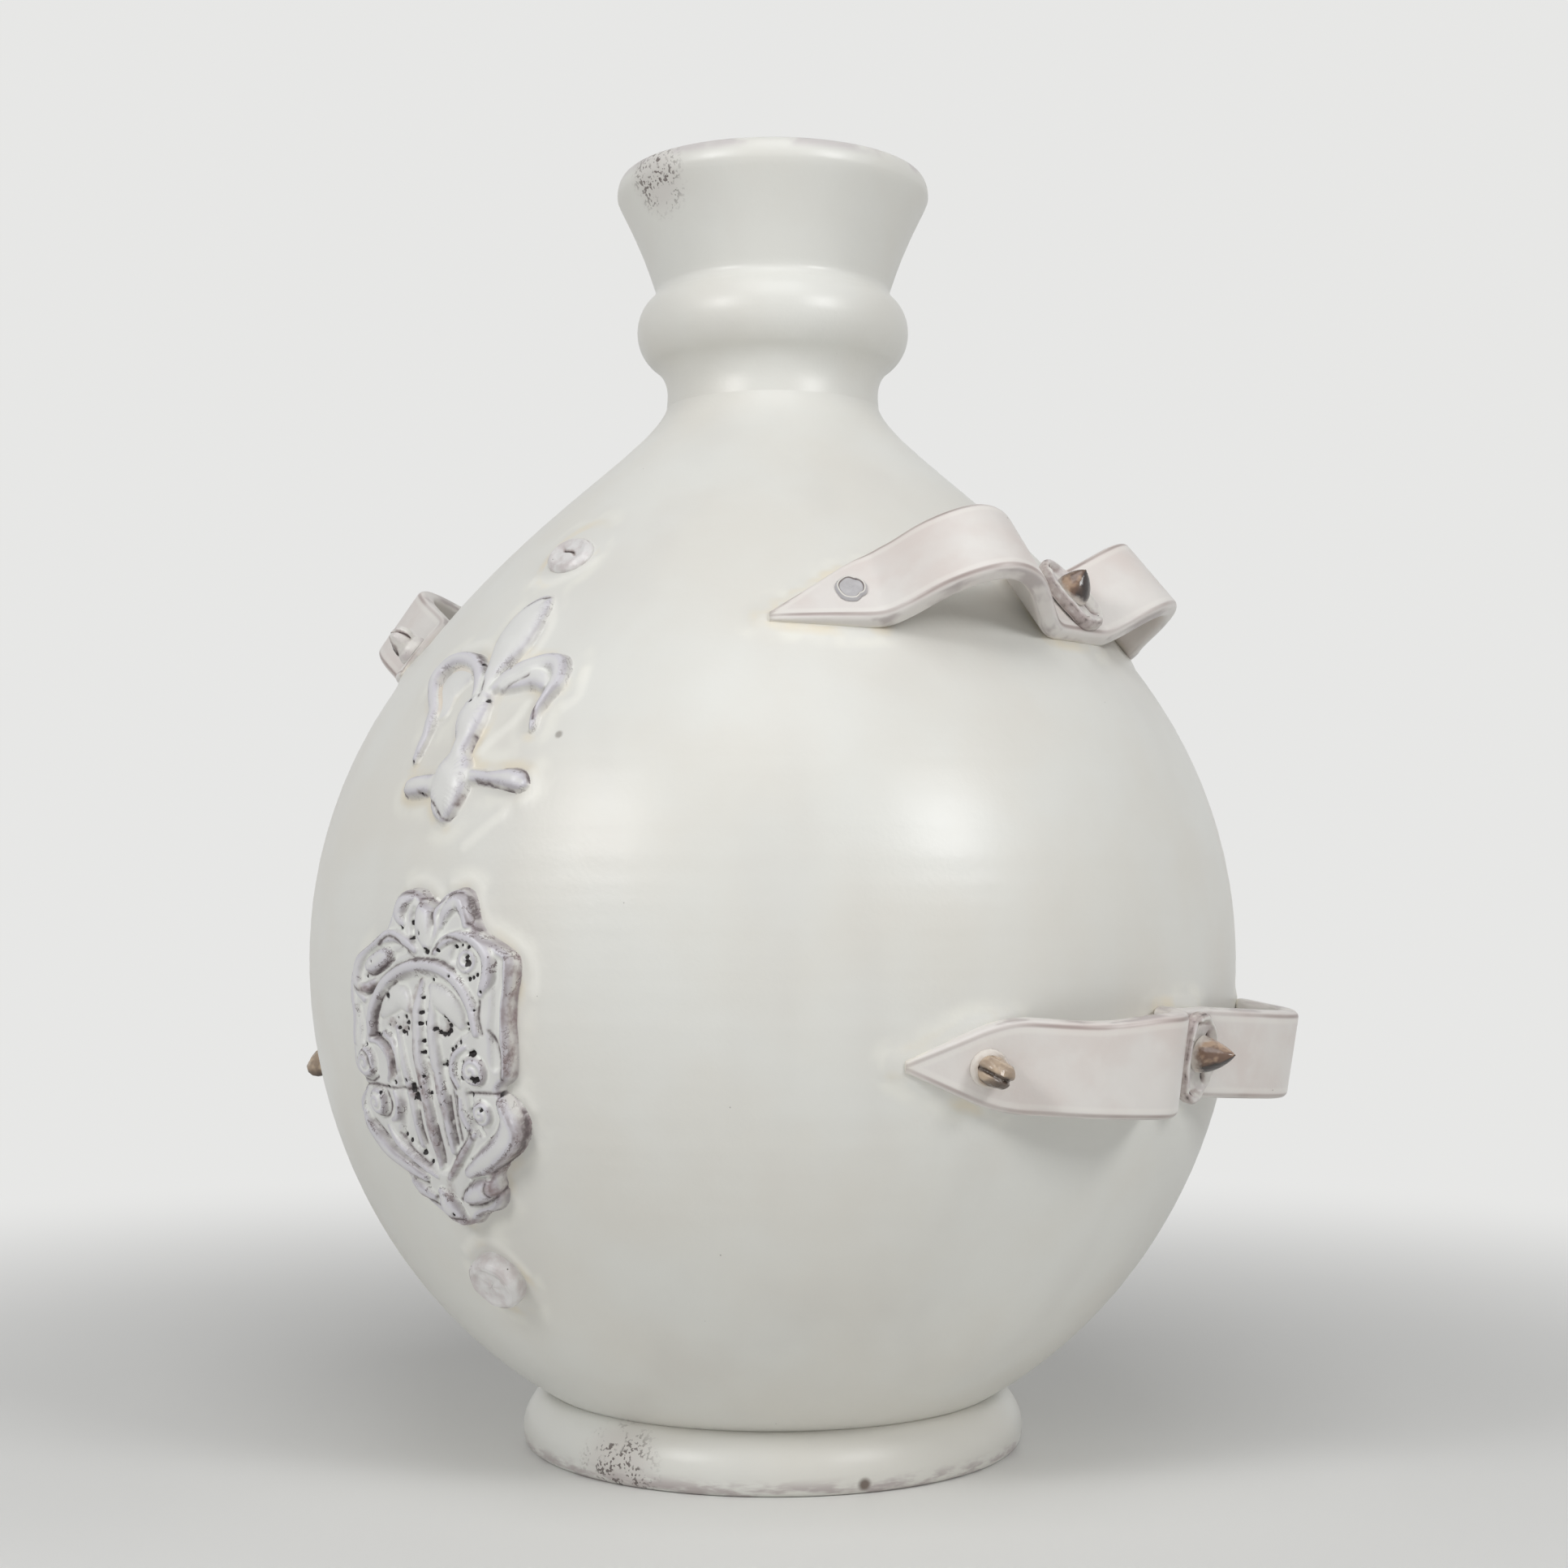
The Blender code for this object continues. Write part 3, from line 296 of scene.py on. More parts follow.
PLATE_OUTLINE = (
    (1, 169.6), (4.6, 173.2), (9.4, 174.6), (13.4, 172.2), (15.2, 167), (17.6, 163), (23.4, 159.8),
    (28, 156.6), (28.2, 151.6), (26.8, 144.6), (26.4, 137), (26.2, 130), (25, 124.6), (21.6, 121.6),
    (24, 118.4), (26.8, 114), (27, 109.4), (23.8, 105.2), (18.6, 101.4), (15, 98), (14.8, 92.4),
    (11.6, 88.2), (5.8, 86.4), (1.8, 83.4), (-3, 82.6), (-10, 85.8), (-18.6, 91.6), (-20.6, 96),
    (-26, 100.2), (-31.6, 105.4), (-35.6, 111), (-36.4, 116.4), (-32.4, 120.8), (-36.4, 124.4),
    (-37.2, 130), (-36.2, 138), (-35.2, 146), (-34.8, 151.6), (-31.4, 156), (-25.4, 159.2), (-19.4, 162.6),
    (-16.6, 167), (-15.4, 171.6), (-11.4, 174.4), (-6, 173.8), (-2, 171),
)
SHIELD_ROLLS = {
    "rim": ((-26, 133.4, 1.2, 1), (-24.6, 140, 1.7, 1.3), (-20.6, 146.2, 1.8, 1.4),
        (-14, 151.2, 1.8, 1.4), (-5, 154, 1.8, 1.4), (4, 153.6, 1.8, 1.4), (11, 149.8, 1.8, 1.4),
        (15, 144, 1.8, 1.4), (16.6, 136.6, 1.2, 1)),
    "left rib": ((-14, 137, 1, 0.8), (-12.6, 128, 1.6, 1.3), (-10.8, 116, 1.7, 1.4), (-10.4, 105, 1.1, 1)),
    "middle rib": ((-3, 149.6, 1, 0.9), (-4.6, 140, 1.9, 1.5), (-5.2, 130, 2, 1.7), (-4.4, 118, 1.9, 1.6),
        (-4.4, 108, 1.7, 1.5), (-4.6, 99.6, 1.1, 1)),
    "right rib": ((1.6, 147.6, 1, 0.9), (0.8, 137, 1.8, 1.4), (0.9, 126, 1.8, 1.5), (2, 114, 1.6, 1.4),
        (1.6, 104, 1.1, 1)),
    "crown leaf": ((-1.4, 171.2, 1.4, 1.1), (-1.6, 168, 3.1, 1.9), (-1.2, 163.5, 3.3, 1.9),
        (-0.4, 159.4, 1.5, 1.2)),
    "leaf strand": ((6, 171, 0.8, 0.7), (3, 168, 1.1, 1.1), (3.4, 163.8, 1.1, 1.1), (1.4, 159.4, 0.8, 0.7)),
    "crown left lobe": ((-10.4, 165, 1.2, 1), (-12, 167.8, 2.1, 1.7), (-10.4, 170.6, 2.1, 1.7),
        (-7.4, 171.8, 1.2, 1.1)),
    "crown right lobe": ((4.8, 164.6, 1.1, 1), (6.4, 168, 1.8, 1.5), (9.8, 171, 2.1, 1.7),
        (12.6, 168.6, 1.8, 1.6), (13.6, 164.8, 1.1, 1)),
    "upper left scroll": ((-4.8, 158, 1, 0.9), (-8.6, 160.2, 1.6, 1.3), (-13.4, 161.6, 1.8, 1.5),
        (-19.6, 160.6, 2, 1.5), (-26.6, 157.6, 2.1, 1.6), (-30.4, 152.6, 2.1, 1.6),
        (-30.4, 147.4, 1.9, 1.5), (-27.6, 144.2, 1.1, 1)),
    "left lump": ((-20.4, 140.4, 1.4, 0.7), (-16.2, 143.6, 3.2, 1.3), (-11.6, 145.4, 3.4, 1.5),
        (-8.2, 142.6, 1.6, 0.9)),
    "right lump": ((0.8, 148.2, 1.4, 0.8), (4.6, 145.6, 3.6, 1.6), (8.6, 142.4, 3.4, 1.6),
        (10.8, 138.6, 1.6, 0.9)),
    "upper left capsule": ((-24.4, 153.2, 1.8, 1.4), (-22, 154, 2.8, 2.1), (-17.6, 155.8, 2.8, 2.1),
        (-15.4, 156.6, 1.6, 1.4)),
    "lower left capsule": ((-29.6, 148.2, 0.9, 0.8), (-26, 147.4, 1.6, 1.5), (-22.4, 149, 1, 1)),
    "upper right scroll": ((2.8, 157.8, 1, 0.9), (6, 160.4, 1.4, 1.3), (11, 161.8, 1.5, 1.4),
        (16.4, 160.8, 1.6, 1.5), (20.6, 156.8, 1.8, 1.6), (21, 151.4, 1.8, 1.5), (18.8, 147, 1.1, 1)),
    "left edge": ((-34, 152.6, 0.8, 0.6), (-34.2, 146, 1.1, 0.8), (-33.4, 140, 1.1, 0.8),
        (-34.6, 132, 0.8, 0.6)),
    "right edge": ((27, 156.6, 1, 0.8), (27.2, 151.6, 1.3, 1.1), (25.8, 144.6, 1.2, 1),
        (25.4, 137, 1.2, 1), (25.2, 130, 1.1, 0.9), (24, 125.2, 0.8, 0.6)),
    "left ring": ((-26.4, 133.2, 0.7, 0.7), (-21.6, 132.6, 1.1, 1.2), (-17.6, 129.4, 1.2, 1.4),
        (-17.4, 125.6, 1.1, 1.2), (-19.2, 122.6, 0.7, 0.7)),
    "left outer ring": ((-20.6, 135.6, 0.6, 0.6), (-16.6, 133.4, 0.8, 0.9), (-14.6, 129.4, 0.8, 0.9),
        (-14.8, 125.4, 0.5, 0.5)),
    "right ring": ((12.4, 132.8, 0.7, 0.7), (8.8, 130.6, 1.1, 1.2), (7.4, 126.4, 1.2, 1.3),
        (8.8, 122.6, 0.8, 0.8)),
    "lower right ring": ((8.6, 118.8, 0.7, 0.7), (8.4, 115.2, 1.1, 1.1), (10.2, 110.8, 0.8, 0.8)),
    "lower left ring": ((-17.8, 119.4, 0.6, 0.6), (-16.4, 116.2, 1, 1.1), (-18, 112.6, 1, 1.1),
        (-20.8, 111.4, 0.6, 0.6)),
    "lower left outer": ((-32.4, 120.2, 0.6, 0.6), (-34.4, 116.4, 1, 0.9), (-34.8, 112.8, 0.7, 0.7)),
    "left frame": ((-33.2, 112.6, 1.3, 1.2), (-31.2, 108.2, 2, 2), (-25.4, 103.8, 2.2, 2.3),
        (-17.6, 99.6, 2.1, 2.2), (-11.4, 96.4, 1.3, 1.3)),
    "inner frame": ((-23.4, 109.6, 0.6, 0.7), (-19.8, 105.4, 1, 1.3), (-14.6, 101.8, 1, 1.4),
        (-9.6, 98.8, 0.9, 1.2), (-6.4, 96.8, 0.6, 0.7)),
    "right horn": ((22.4, 118.4, 1.6, 1.6), (24.6, 113.6, 3.2, 3), (21.8, 107.8, 3.7, 3.4),
        (14.6, 103, 3.3, 3), (7, 99, 1.7, 1.6)),
    "inner horn": ((11.4, 109.4, 0.7, 0.7), (7.4, 105.4, 1.1, 1.3), (2.6, 100.8, 1.1, 1.3),
        (-1.4, 96.8, 0.8, 0.8)),
    "bottom tip": ((-6.2, 92.6, 1.4, 1.3), (-4, 89, 3.2, 2.6), (-0.8, 85.8, 2, 1.8)),
    "bottom roll": ((3.6, 91.8, 1.6, 1.5), (6.8, 93.2, 2.8, 2.7), (10.8, 94.8, 2.9, 2.9),
        (13.4, 95.6, 1.7, 1.8)),
    "bottom left roll": ((-17, 94.8, 1.2, 1.1), (-13.6, 92.6, 1.9, 1.7), (-10, 91, 1.1, 1.1)),
}
VOLUTES = (
    (14.2, 155.6, 3.6, 1.4, -1), (-28.6, 126.8, 4.6, 2.2, 1), (14.8, 126.8, 4.2, 2.3, -1),
    (-25.4, 116.2, 4.2, 2.2, 1), (15.6, 115.6, 3.6, 2, -1),
)
LILY_LINES = (
    ((-10.6, 238), (-8.4, 237.2)), ((18.9, 228.9), (18.4, 224.3), (19.3, 220.5)),
    ((6.6, 203.7), (11.2, 202.9), (15.1, 201.6), (19.7, 200.7)), ((-15.4, 201), (-13, 200.5)),
    ((-9.9, 198.9), (-6.5, 197.4), (-4.2, 194.7), (-2.2, 193.5), (0.5, 194.3)),
    ((-4.3, 231.8), (-3.4, 227.4)),
    ((2.2, 257), (-0.8, 256.4), (-4.2, 253.6), (-7.8, 249.6), (-9, 245.2), (-7.8, 240.2), (-6.4, 235.2)),
    ((-10.4, 238.6), (-15.4, 241.2), (-21.6, 242.1), (-28.6, 240.4), (-31.9, 234.4), (-30.2, 229.6)),
    ((-28.4, 227.4), (-25, 223.6), (-24.1, 219.6), (-24.5, 215), (-25.2, 211.4)),
    ((-24.2, 203.8), (-24.4, 201.8), (-22.4, 200.4)),
    ((14.8, 207), (18.8, 207), (22.6, 205.8), (24.2, 203.4)), ((-9.6, 222.2), (-8.4, 218), (-6.6, 214.8)),
    ((3, 229), (7, 230.8), (12, 232.6)), ((1.4, 227.6), (3.2, 225)), ((0.6, 216.4), (0.4, 212.6)),
)
SHIELD_LINES = (
    ((-14.1, 166.9), (-13.4, 170.4), (-10.8, 172.8), (-7.6, 173.2)),
    ((-4.3, 171.6), (-2, 172.3), (0.3, 171.9)), ((5.2, 171.4), (1.8, 168.6), (2.2, 165)),
    ((6.6, 172.2), (10.2, 173.2), (13.1, 171.8), (15.2, 166.6)), ((14.4, 165.1), (16.8, 163.5)),
    ((1.6, 157), (5.6, 160.5), (8.8, 161.5), (12, 160.6)),
    ((-19.4, 159.2), (-15.1, 161.5), (-11.2, 160.6), (-8.6, 158.2), (-5.8, 156.2), (-3.2, 155.2)),
    # the next two grooves paint the shadows under the two capsules: painted shadow
    ((-26.4, 151.6), (-22.8, 150.9), (-17.6, 153), (-14.4, 155)),
    ((-31.4, 147.6), (-28.8, 146.2), (-25.4, 145.8), (-22, 147.8)),
    ((-35, 152.8), (-35.2, 146), (-34.4, 140), (-35.8, 131.6)),
    ((-27.4, 134.2), (-26.2, 140.6), (-22, 147.4), (-15, 152.6), (-5.4, 155.6), (4.2, 155.4), (9.4, 153.2)),
    ((-24, 134.8), (-22.8, 139.6), (-19, 144.8), (-13, 149.4)), ((8.6, 149.2), (13, 144.2), (14.8, 137.4)),
    ((8.8, 132.2), (5.8, 129.2), (5.6, 125.2), (7.6, 121.4)),
    ((7.2, 119.6), (6.8, 115.2), (8.2, 111.4), (10.8, 108.2)),
    ((-32.4, 120.5), (-26, 120.9), (-18, 120.3), (-8, 120.6)), ((11, 120.4), (16, 120.8), (22.4, 120.6)),
    ((-12.2, 114), (-12, 105)), ((-8.9, 114.6), (-8.9, 105.4)), ((0.2, 117), (0, 105.6)),
    ((3.8, 119), (3.4, 106)), ((5.4, 120.6), (5.2, 107)),
    ((20.6, 137.4), (22.6, 133.8), (23.6, 129.2), (23.2, 124.6)), ((18, 145), (17.6, 141), (18.4, 136.4)),
    ((26.9, 116.2), (27.4, 112.4), (26.6, 108.6), (22, 103.4), (14.8, 99.2)),
    ((-35.6, 113.4), (-32.6, 107.2), (-26.4, 101.6), (-18.4, 97.4), (-11.2, 94.6)),
    ((-30, 110.8), (-24.6, 106.2), (-17.2, 102), (-10.8, 98)),
    ((-19, 107.8), (-14.2, 103.4), (-8.4, 99.6)),
    ((-29.4, 117.4), (-27.4, 113.4), (-23.2, 112.2), (-20, 115.4), (-21, 119.2)),
    ((-33.4, 120.6), (-35.6, 116.4), (-36, 113)),
    ((-25.4, 134.4), (-20.8, 133.9), (-16.4, 130.4), (-16, 124.4)),
    ((-34.6, 127.4), (-32.8, 123.2), (-28.4, 121.6), (-24.6, 123)),
    ((-31, 130.8), (-27.2, 129), (-25.8, 125.8)),
    ((-18.8, 93.8), (-14.4, 90.4), (-9, 88.2), (-3.2, 84.6), (0.6, 83)),
    ((-8.9, 91), (-5.4, 87), (0.2, 86)), ((3, 89.6), (7.4, 90), (12.4, 91.8), (15.4, 94)),
    ((12.4, 97), (11.8, 95), (12.8, 93)), ((-6.3, 110.8), (-6.2, 105), (-5.9, 100.4)),
    ((-2.5, 110.8), (-2.6, 105), (-3.2, 100.4)), ((1.6, 101.8), (6.4, 106.4), (10.4, 110.8)),
    ((7.4, 96.4), (3.4, 93.8), (0.4, 90.6)),
)
LILY_STAINS = {
    "crease": ((19.3, 227.6, 0.2), (18.4, 224.3, 0.3), (19.1, 221.5, 0.1)),
    "ridge": ((-31.6, 236, 0.5), (-30.6, 230.6, 0.8), (-27.4, 226.4, 0.7), (-25.2, 220, 0.4)),
    "base": ((2.4, 199.6, 0.2), (1.4, 197.4, 0.3)),
    "toe end": ((-23.6, 203, 0.7), (-23.2, 201.4, 0.7)),
}
SHIELD_STAINS_AND_SHADOWS = {
    # rib: painted shadow beside the middle rib's upper part, and the rib's own pinkish brown lower down
    "rib": ((-3.5, 150, 0.4), (-6, 146.2, 0.7), (-6.8, 140, 0.9), (-6.6, 133.8, 0.9),
        (-6.2, 127.7, 1), (-4.9, 123.1, 1), (-4.2, 118, 1.1), (-4.2, 110, 0.9),
        (-4.4, 101, 0.6)),
    "second rib": ((-2, 127, 0.8), (-0.6, 124, 1.2), (1.4, 119, 0.6), (1.8, 113, 0.4)),
    # the next two are painted shadows under the two lumps in the oval
    "left shadow": ((-18.4, 138, 0.5), (-15.2, 138.2, 1.1), (-11.6, 136.8, 1.2),
        (-9.8, 139.6, 0.8)),
    "right shadow": ((1.8, 137.4, 0.5), (4.2, 136.4, 1), (6.6, 137.6, 0.9), (6.2, 140.4, 0.5)),
    "patch": ((-10.2, 120, 1.2), (-8.2, 117.6, 1.3)),
    "inner horn": ((10.6, 108.6, 0.6), (4.2, 102.3, 0.9), (-1, 96.9, 0.9), (-2.6, 93, 1.2)),
    # horn: painted shade on the horn's dark lower right face
    "horn": ((27.4, 116, 0.9), (28.2, 112, 1.3), (26, 106.8, 1.3), (20, 101.6, 1.2),
        (14.6, 98.4, 0.9)),
    "wall": ((28.8, 157, 1), (29, 151, 1.5), (27.4, 143, 1.5), (26.9, 134, 1.3),
        (25.8, 125.6, 1)),
    "frame": ((-34.8, 112, 0.6), (-30.8, 105.8, 0.8), (-23.6, 100.4, 0.8), (-16, 96.4, 0.8)),
    # capsule: painted shadow under the lower left capsule
    "capsule": ((-29.7, 147.8, 0.8), (-25.8, 147, 1), (-22, 148.8, 0.6)),
    "ring": ((-17.4, 131, 0.6), (-16.2, 127.4, 0.8), (-17.6, 123.2, 0.6)),
    "end disc": ((13.6, 95.8, 1.2), (14.6, 94, 1.4)),
    "knot": ((1, 84.4, 1.4), (-3.8, 86.6, 1)),
    "lobe": ((-16.6, 93, 0.6), (-12.4, 90.2, 0.6)),
}
LILY_PITS = (
    (4.2, 235.4, 0.7), (0.2, 226.5, 0.7), (1.4, 226.3, 0.7), (3, 224.4, 0.8), (2.8, 223.4, 0.6),
    (2, 218.9, 0.6), (3, 218.6, 0.6), (0.8, 213.2, 0.5), (4.3, 207.7, 0.6), (-5.7, 226.1, 0.7),
    (-3.8, 229, 0.5), (-24.2, 210.2, 0.7), (-9.2, 237.4, 0.6), (-14.2, 200.7, 0.5), (1.8, 213.8, 0.4),
)
SHIELD_PITS_AND_SHADOWS = (
    (-6.1, 167.7, 0.8), (-7, 165.4, 0.7), (-6.6, 164.2, 0.6), (-6.5, 161.2, 0.6), (-2.5, 162.5, 0.6),
    (-0.5, 157.8, 1), (-10.6, 164, 0.6), (4.2, 158.2, 0.6), (14.9, 155, 1.1), (14.6, 156.6, 0.7),
    (15.1, 150.8, 0.7), (16.4, 151.2, 0.6), (17.6, 151.9, 0.6), (9.9, 159.2, 0.6), (12.2, 159.6, 0.5),
    (14.5, 159.2, 0.6), (-16.9, 145.5, 0.9), (-2.4, 145.4, 0.5), (-2.8, 141.5, 0.6), (-0.5, 141.9, 0.6),
    (-3.3, 138.5, 0.6), (-1.6, 138.5, 0.6), (-1.2, 136.2, 0.6), (-3, 133.8, 0.6), (-3, 130.8, 0.6),
    (-2.2, 132.4, 0.4), (7.2, 131.7, 0.8), (8.8, 132.7, 0.7), (10.5, 134, 0.7), (13, 137.4, 0.5),
    (13, 138.8, 0.5), (-23.4, 134.6, 0.6), (-22, 134.5, 0.6), (-29, 131.7, 0.6), (-12, 122.7, 0.7),
    (-9.7, 121.5, 0.7), (-5.1, 121.5, 0.6), (14.9, 131.2, 1), (13.8, 131, 0.7), (11.5, 128.8, 0.7),
    (11.2, 127.6, 0.5), (10.3, 124.6, 0.7), (15.3, 124.6, 1.1), (16.4, 124.8, 0.8), (12.5, 120.2, 0.8),
    (21.8, 120.4, 0.7), (11.6, 115.8, 0.7), (12.2, 113.1, 0.7), (12.8, 112.4, 0.7), (13.4, 111.9, 0.7),
    (16.3, 116.8, 0.6), (4.6, 104.5, 0.6), (-17.4, 107.3, 0.6), (-15.5, 105.8, 0.6), (-10.8, 102.7, 0.9),
    (-8.2, 100.4, 0.6), (4.9, 94.6, 0.6), (-21.8, 154.6, 0.5), (-21.2, 156.7, 0.5), (-26.6, 150.4, 0.6),
    # the pits from (2.2, 137.3) to (-10.1, 140) ring the lower sides of the two lumps: painted shadow
    (2.2, 137.3, 0.6), (3.2, 136.3, 0.7), (4.4, 135.8, 0.8), (5.6, 136, 0.7), (6.6, 136.8, 0.7),
    (6.8, 138.2, 0.7), (6.3, 139.8, 0.8), (5.6, 140.6, 0.6), (-18.2, 137.3, 0.5), (-15.1, 137.8, 0.5),
    (-13.2, 136.9, 0.6), (-12, 135.8, 0.8), (-10.8, 135.4, 0.8), (-9.8, 136.8, 0.7), (-9.3, 138.5, 0.7),
    (-10.1, 140, 0.7), (3.4, 127.5, 0.8), (4.8, 127.2, 0.7), (4, 128.4, 0.5), (-8.9, 118.5, 1.1),
    (-10, 120, 0.8), (-7.8, 117.4, 0.8), (-0.4, 125.2, 0.6), (-3.8, 124.4, 0.5), (-2, 129.2, 0.5),
    (-17.9, 115, 0.5), (-23.4, 118.8, 0.6), (-16.9, 122, 0.6), (-20.6, 120.6, 0.5), (-12.6, 104.8, 0.5),
    (7.6, 110.6, 0.5), (8.8, 102.4, 0.5), (5.4, 97.4, 0.5), (-2.2, 87.4, 0.5), (0.8, 150.2, 0.5),
    (8.6, 151.4, 0.5), (-13.6, 139.6, 0.4), (19.2, 147.6, 0.5), (16.6, 142.6, 0.4), (-5.2, 115, 0.4),
    (-2.4, 119.8, 0.5), (1.2, 117, 0.4),
)
RIDGES = (
    ((3.6, 255), (8.2, 249), (8.1, 241.3), (5, 238.6)), ((2.9, 212.3), (11.1, 220), (14.1, 224.9)),
    ((27, 224.5), (30, 227.3), (28.7, 234.4)), ((24, 206.1), (25.4, 202), (23.1, 198.4)),
    ((-13.9, 175.2), (-8.8, 177.2), (-3.6, 175.9), (-0.6, 173.4)), ((4, 176), (9.6, 177.4), (14.6, 174.6)),
    ((14.1, 172.6), (16.6, 167.4), (20, 163.6), (26, 161), (31.6, 157.2), (33.4, 152.4), (33, 147)),
    ((20.8, 120), (24, 121.2), (27.4, 119.6), (29.4, 116.4)), ((-12, 264), (-4, 262.2), (4.6, 264.7)),
    ((4.6, 264.7), (8.6, 268.4)), ((-11.6, 73), (-3, 77.4), (5.4, 75.4), (10.4, 69)),
    ((6, 186), (11.6, 190.4), (17.4, 195)), ((-26, 244), (-16, 244.6), (-9, 242.4)),
)
print(len(LILY_ROLLS), "lily rolls,", len(SHIELD_ROLLS), "shield rolls and", len(SHIELD_PITS_AND_SHADOWS), "pits")

# %% [markdown]
# ## Tables of the straps
#
# A strap is a flat band with pointed ends. It touches the globe at its two ends and at the pinch in its
# middle, and arches up between them. The table gives the length along the globe from the pinch, and the
# rise there.

# %% The straps' paths
STRAP_WIDTH = 0.026
STRAP_THICKNESS = 0.006
STRAP_SINK = 0.0008
STRAP_CORNER = 0.0023
POINT_LENGTH = 0.026
POINT_BLUNTNESS = 0.0016
POINT_THINNING = 0.62
POINT_SOFTNESS = 0.3
LOWER_SLACK = 0.955        # keeps the unevenness of the lower arches inside the frame's box
BEND_SOFTNESS = 90         # rounds of averaging that soften a bend
FINE_STEPS = 18            # points on each stretch of a strap's path, to soften its bends,
SPOT_STEPS = 2             # to look up a spot on it,
NEAR_STEPS = 6             # to measure how near it lies,
PRESS_STEPS = 9            # to press it,
TELL_STEPS = 27            # and to tell its points where they lie
SWELL = 0.0015             # the lower straps are a little wider at this place along them
SWELL_PLACE = -0.026
SWELL_REACH = 0.014
PINCH_AZIMUTH = math.radians(91.0)
STUD_SETBACK = 0.023
LOWER_ARCHES = (
    (-0.096, 0), (-0.081, 0), (-0.0685, 0), (-0.06, 0.003), (-0.05, 0.0088), (-0.033, 0.016),
    (-0.026, 0.0165), (-0.019, 0.009), (-0.014, 0.0012), (-0.008, 0), (0.008, 0), (0.014, 0.0014),
    (0.03, 0.0116), (0.044, 0.0172), (0.055, 0.0098), (0.06, 0.0016), (0.0665, 0), (0.079, 0), (0.095, 0),
)
UPPER_ARCHES = (
    (-0.096, 0), (-0.081, 0), (-0.0685, 0), (-0.0615, 0.0042), (-0.054, 0.0128), (-0.043, 0.0214),
    (-0.033, 0.019), (-0.0235, 0.0086), (-0.0155, 0.0012), (-0.008, 0), (0.008, 0), (0.015, 0.0022),
    (0.024, 0.0138), (0.033, 0.0178), (0.041, 0.0124), (0.0465, 0.002), (0.053, 0), (0.067, 0),
    (0.082, 0),
)
STRAPS = {
    "right_lower": (1, 0.1285, LOWER_ARCHES, 0.0), "left_lower": (-1, 0.1195, LOWER_ARCHES, 0.0),
    "right_upper": (1, 0.2555, UPPER_ARCHES, 0.009), "left_upper": (-1, 0.2485, UPPER_ARCHES, 0.009),
}


def smooth_path(rows, steps):
    """A smooth curve through the rows, with the given number of steps between two of them."""
    rows = np.array(rows, float)
    ends = np.vstack((rows[:1] * 2 - rows[1:2], rows, rows[-1:] * 2 - rows[-2:-1]))
    curve = []
    for a, b, c, d in zip(ends, ends[1:], ends[2:], ends[3:]):
        t = np.arange(steps)[:, None] / steps
        curve.append(0.5 * (2 * b + (c - a) * t + (2 * a - 5 * b + 4 * c - d) * t ** 2
                            + (3 * b - a - 3 * c + d) * t ** 3))
    return np.vstack(curve + [rows[-1:]])


def soft_arches(arches, steps):
    """The path through the table's rows, with its bends softened as damp clay bends."""
    fine = smooth_path(arches, FINE_STEPS)
    rise = fine[:, 1].copy()
    for _ in range(BEND_SOFTNESS):
        rise[1:-1] = (rise[:-2] + 2 * rise[1:-1] + rise[2:]) / 4
    path = smooth_path(arches, steps)
    slack = LOWER_SLACK if arches is LOWER_ARCHES else 1.0
    path[:, 1] = np.interp(path[:, 0], fine[:, 0], rise) * slack
    return path


def soft_limit(value):
    """The value, but rounded off so that it never passes 1."""
    over = np.clip(value - (1 - POINT_SOFTNESS), 0.0, 2 * POINT_SOFTNESS)
    return np.minimum(value, 1 + POINT_SOFTNESS) - over ** 2 / (4 * POINT_SOFTNESS)


def strap_stations(name, steps):
    """Along a strap: its lengths, middles, width directions, outward directions and half sizes."""
    side, height, arches, droop = STRAPS[name]
    path = soft_arches(arches, steps)
    radius, out, up = (float(v) for v in skin_at(height))
    azimuth = side * (PINCH_AZIMUTH + path[:, 0] / radius)
    outward = np.stack((np.sin(azimuth), -np.cos(azimuth), np.zeros(len(azimuth))), axis=-1)
    lift = path[:, 1] + STRAP_THICKNESS / 2 - STRAP_SINK
    middle = outward * (radius + out * lift)[:, None]
    middle[:, 2] = height + up * lift
    across = outward * -up
    across[:, 2] = out
    across = unit(across)
    run = unit(np.gradient(middle, axis=0))
    facing = unit(np.cross(run, across) * side)
    length = path[:, 0]
    fullness = soft_limit(np.minimum(length - length[0], length[-1] - length) / POINT_LENGTH)
    swell = SWELL * np.exp(-((length - SWELL_PLACE) / SWELL_REACH) ** 2) * (arches is LOWER_ARCHES)
    half_width = POINT_BLUNTNESS + (STRAP_WIDTH / 2 - POINT_BLUNTNESS) * fullness + swell
    half_thick = STRAP_THICKNESS / 2 * (1 - POINT_THINNING * (1 - fullness))
    middle = middle + across * (swell - droop * (1 - fullness))[:, None]
    middle = middle - facing * (STRAP_THICKNESS / 2 - half_thick)[:, None]
    return length, path[:, 1], middle, across, facing, half_width, half_thick


def strap_top(name, length):
    """A spot on a strap's outer face, with the outward direction and the width direction there."""
    lengths, _, middle, across, facing, _, half_thick = strap_stations(name, SPOT_STEPS)
    top = middle + facing * half_thick[:, None]
    i = int(np.argmin(np.abs(lengths - length)))
    direction = np.cross(top[i + 1] - top[i - 1], across[i]) * STRAPS[name][0]
    return top[i], direction / np.linalg.norm(direction), across[i]


print("strap stations:", {name: len(strap_stations(name, NEAR_STEPS)[0]) for name in STRAPS})

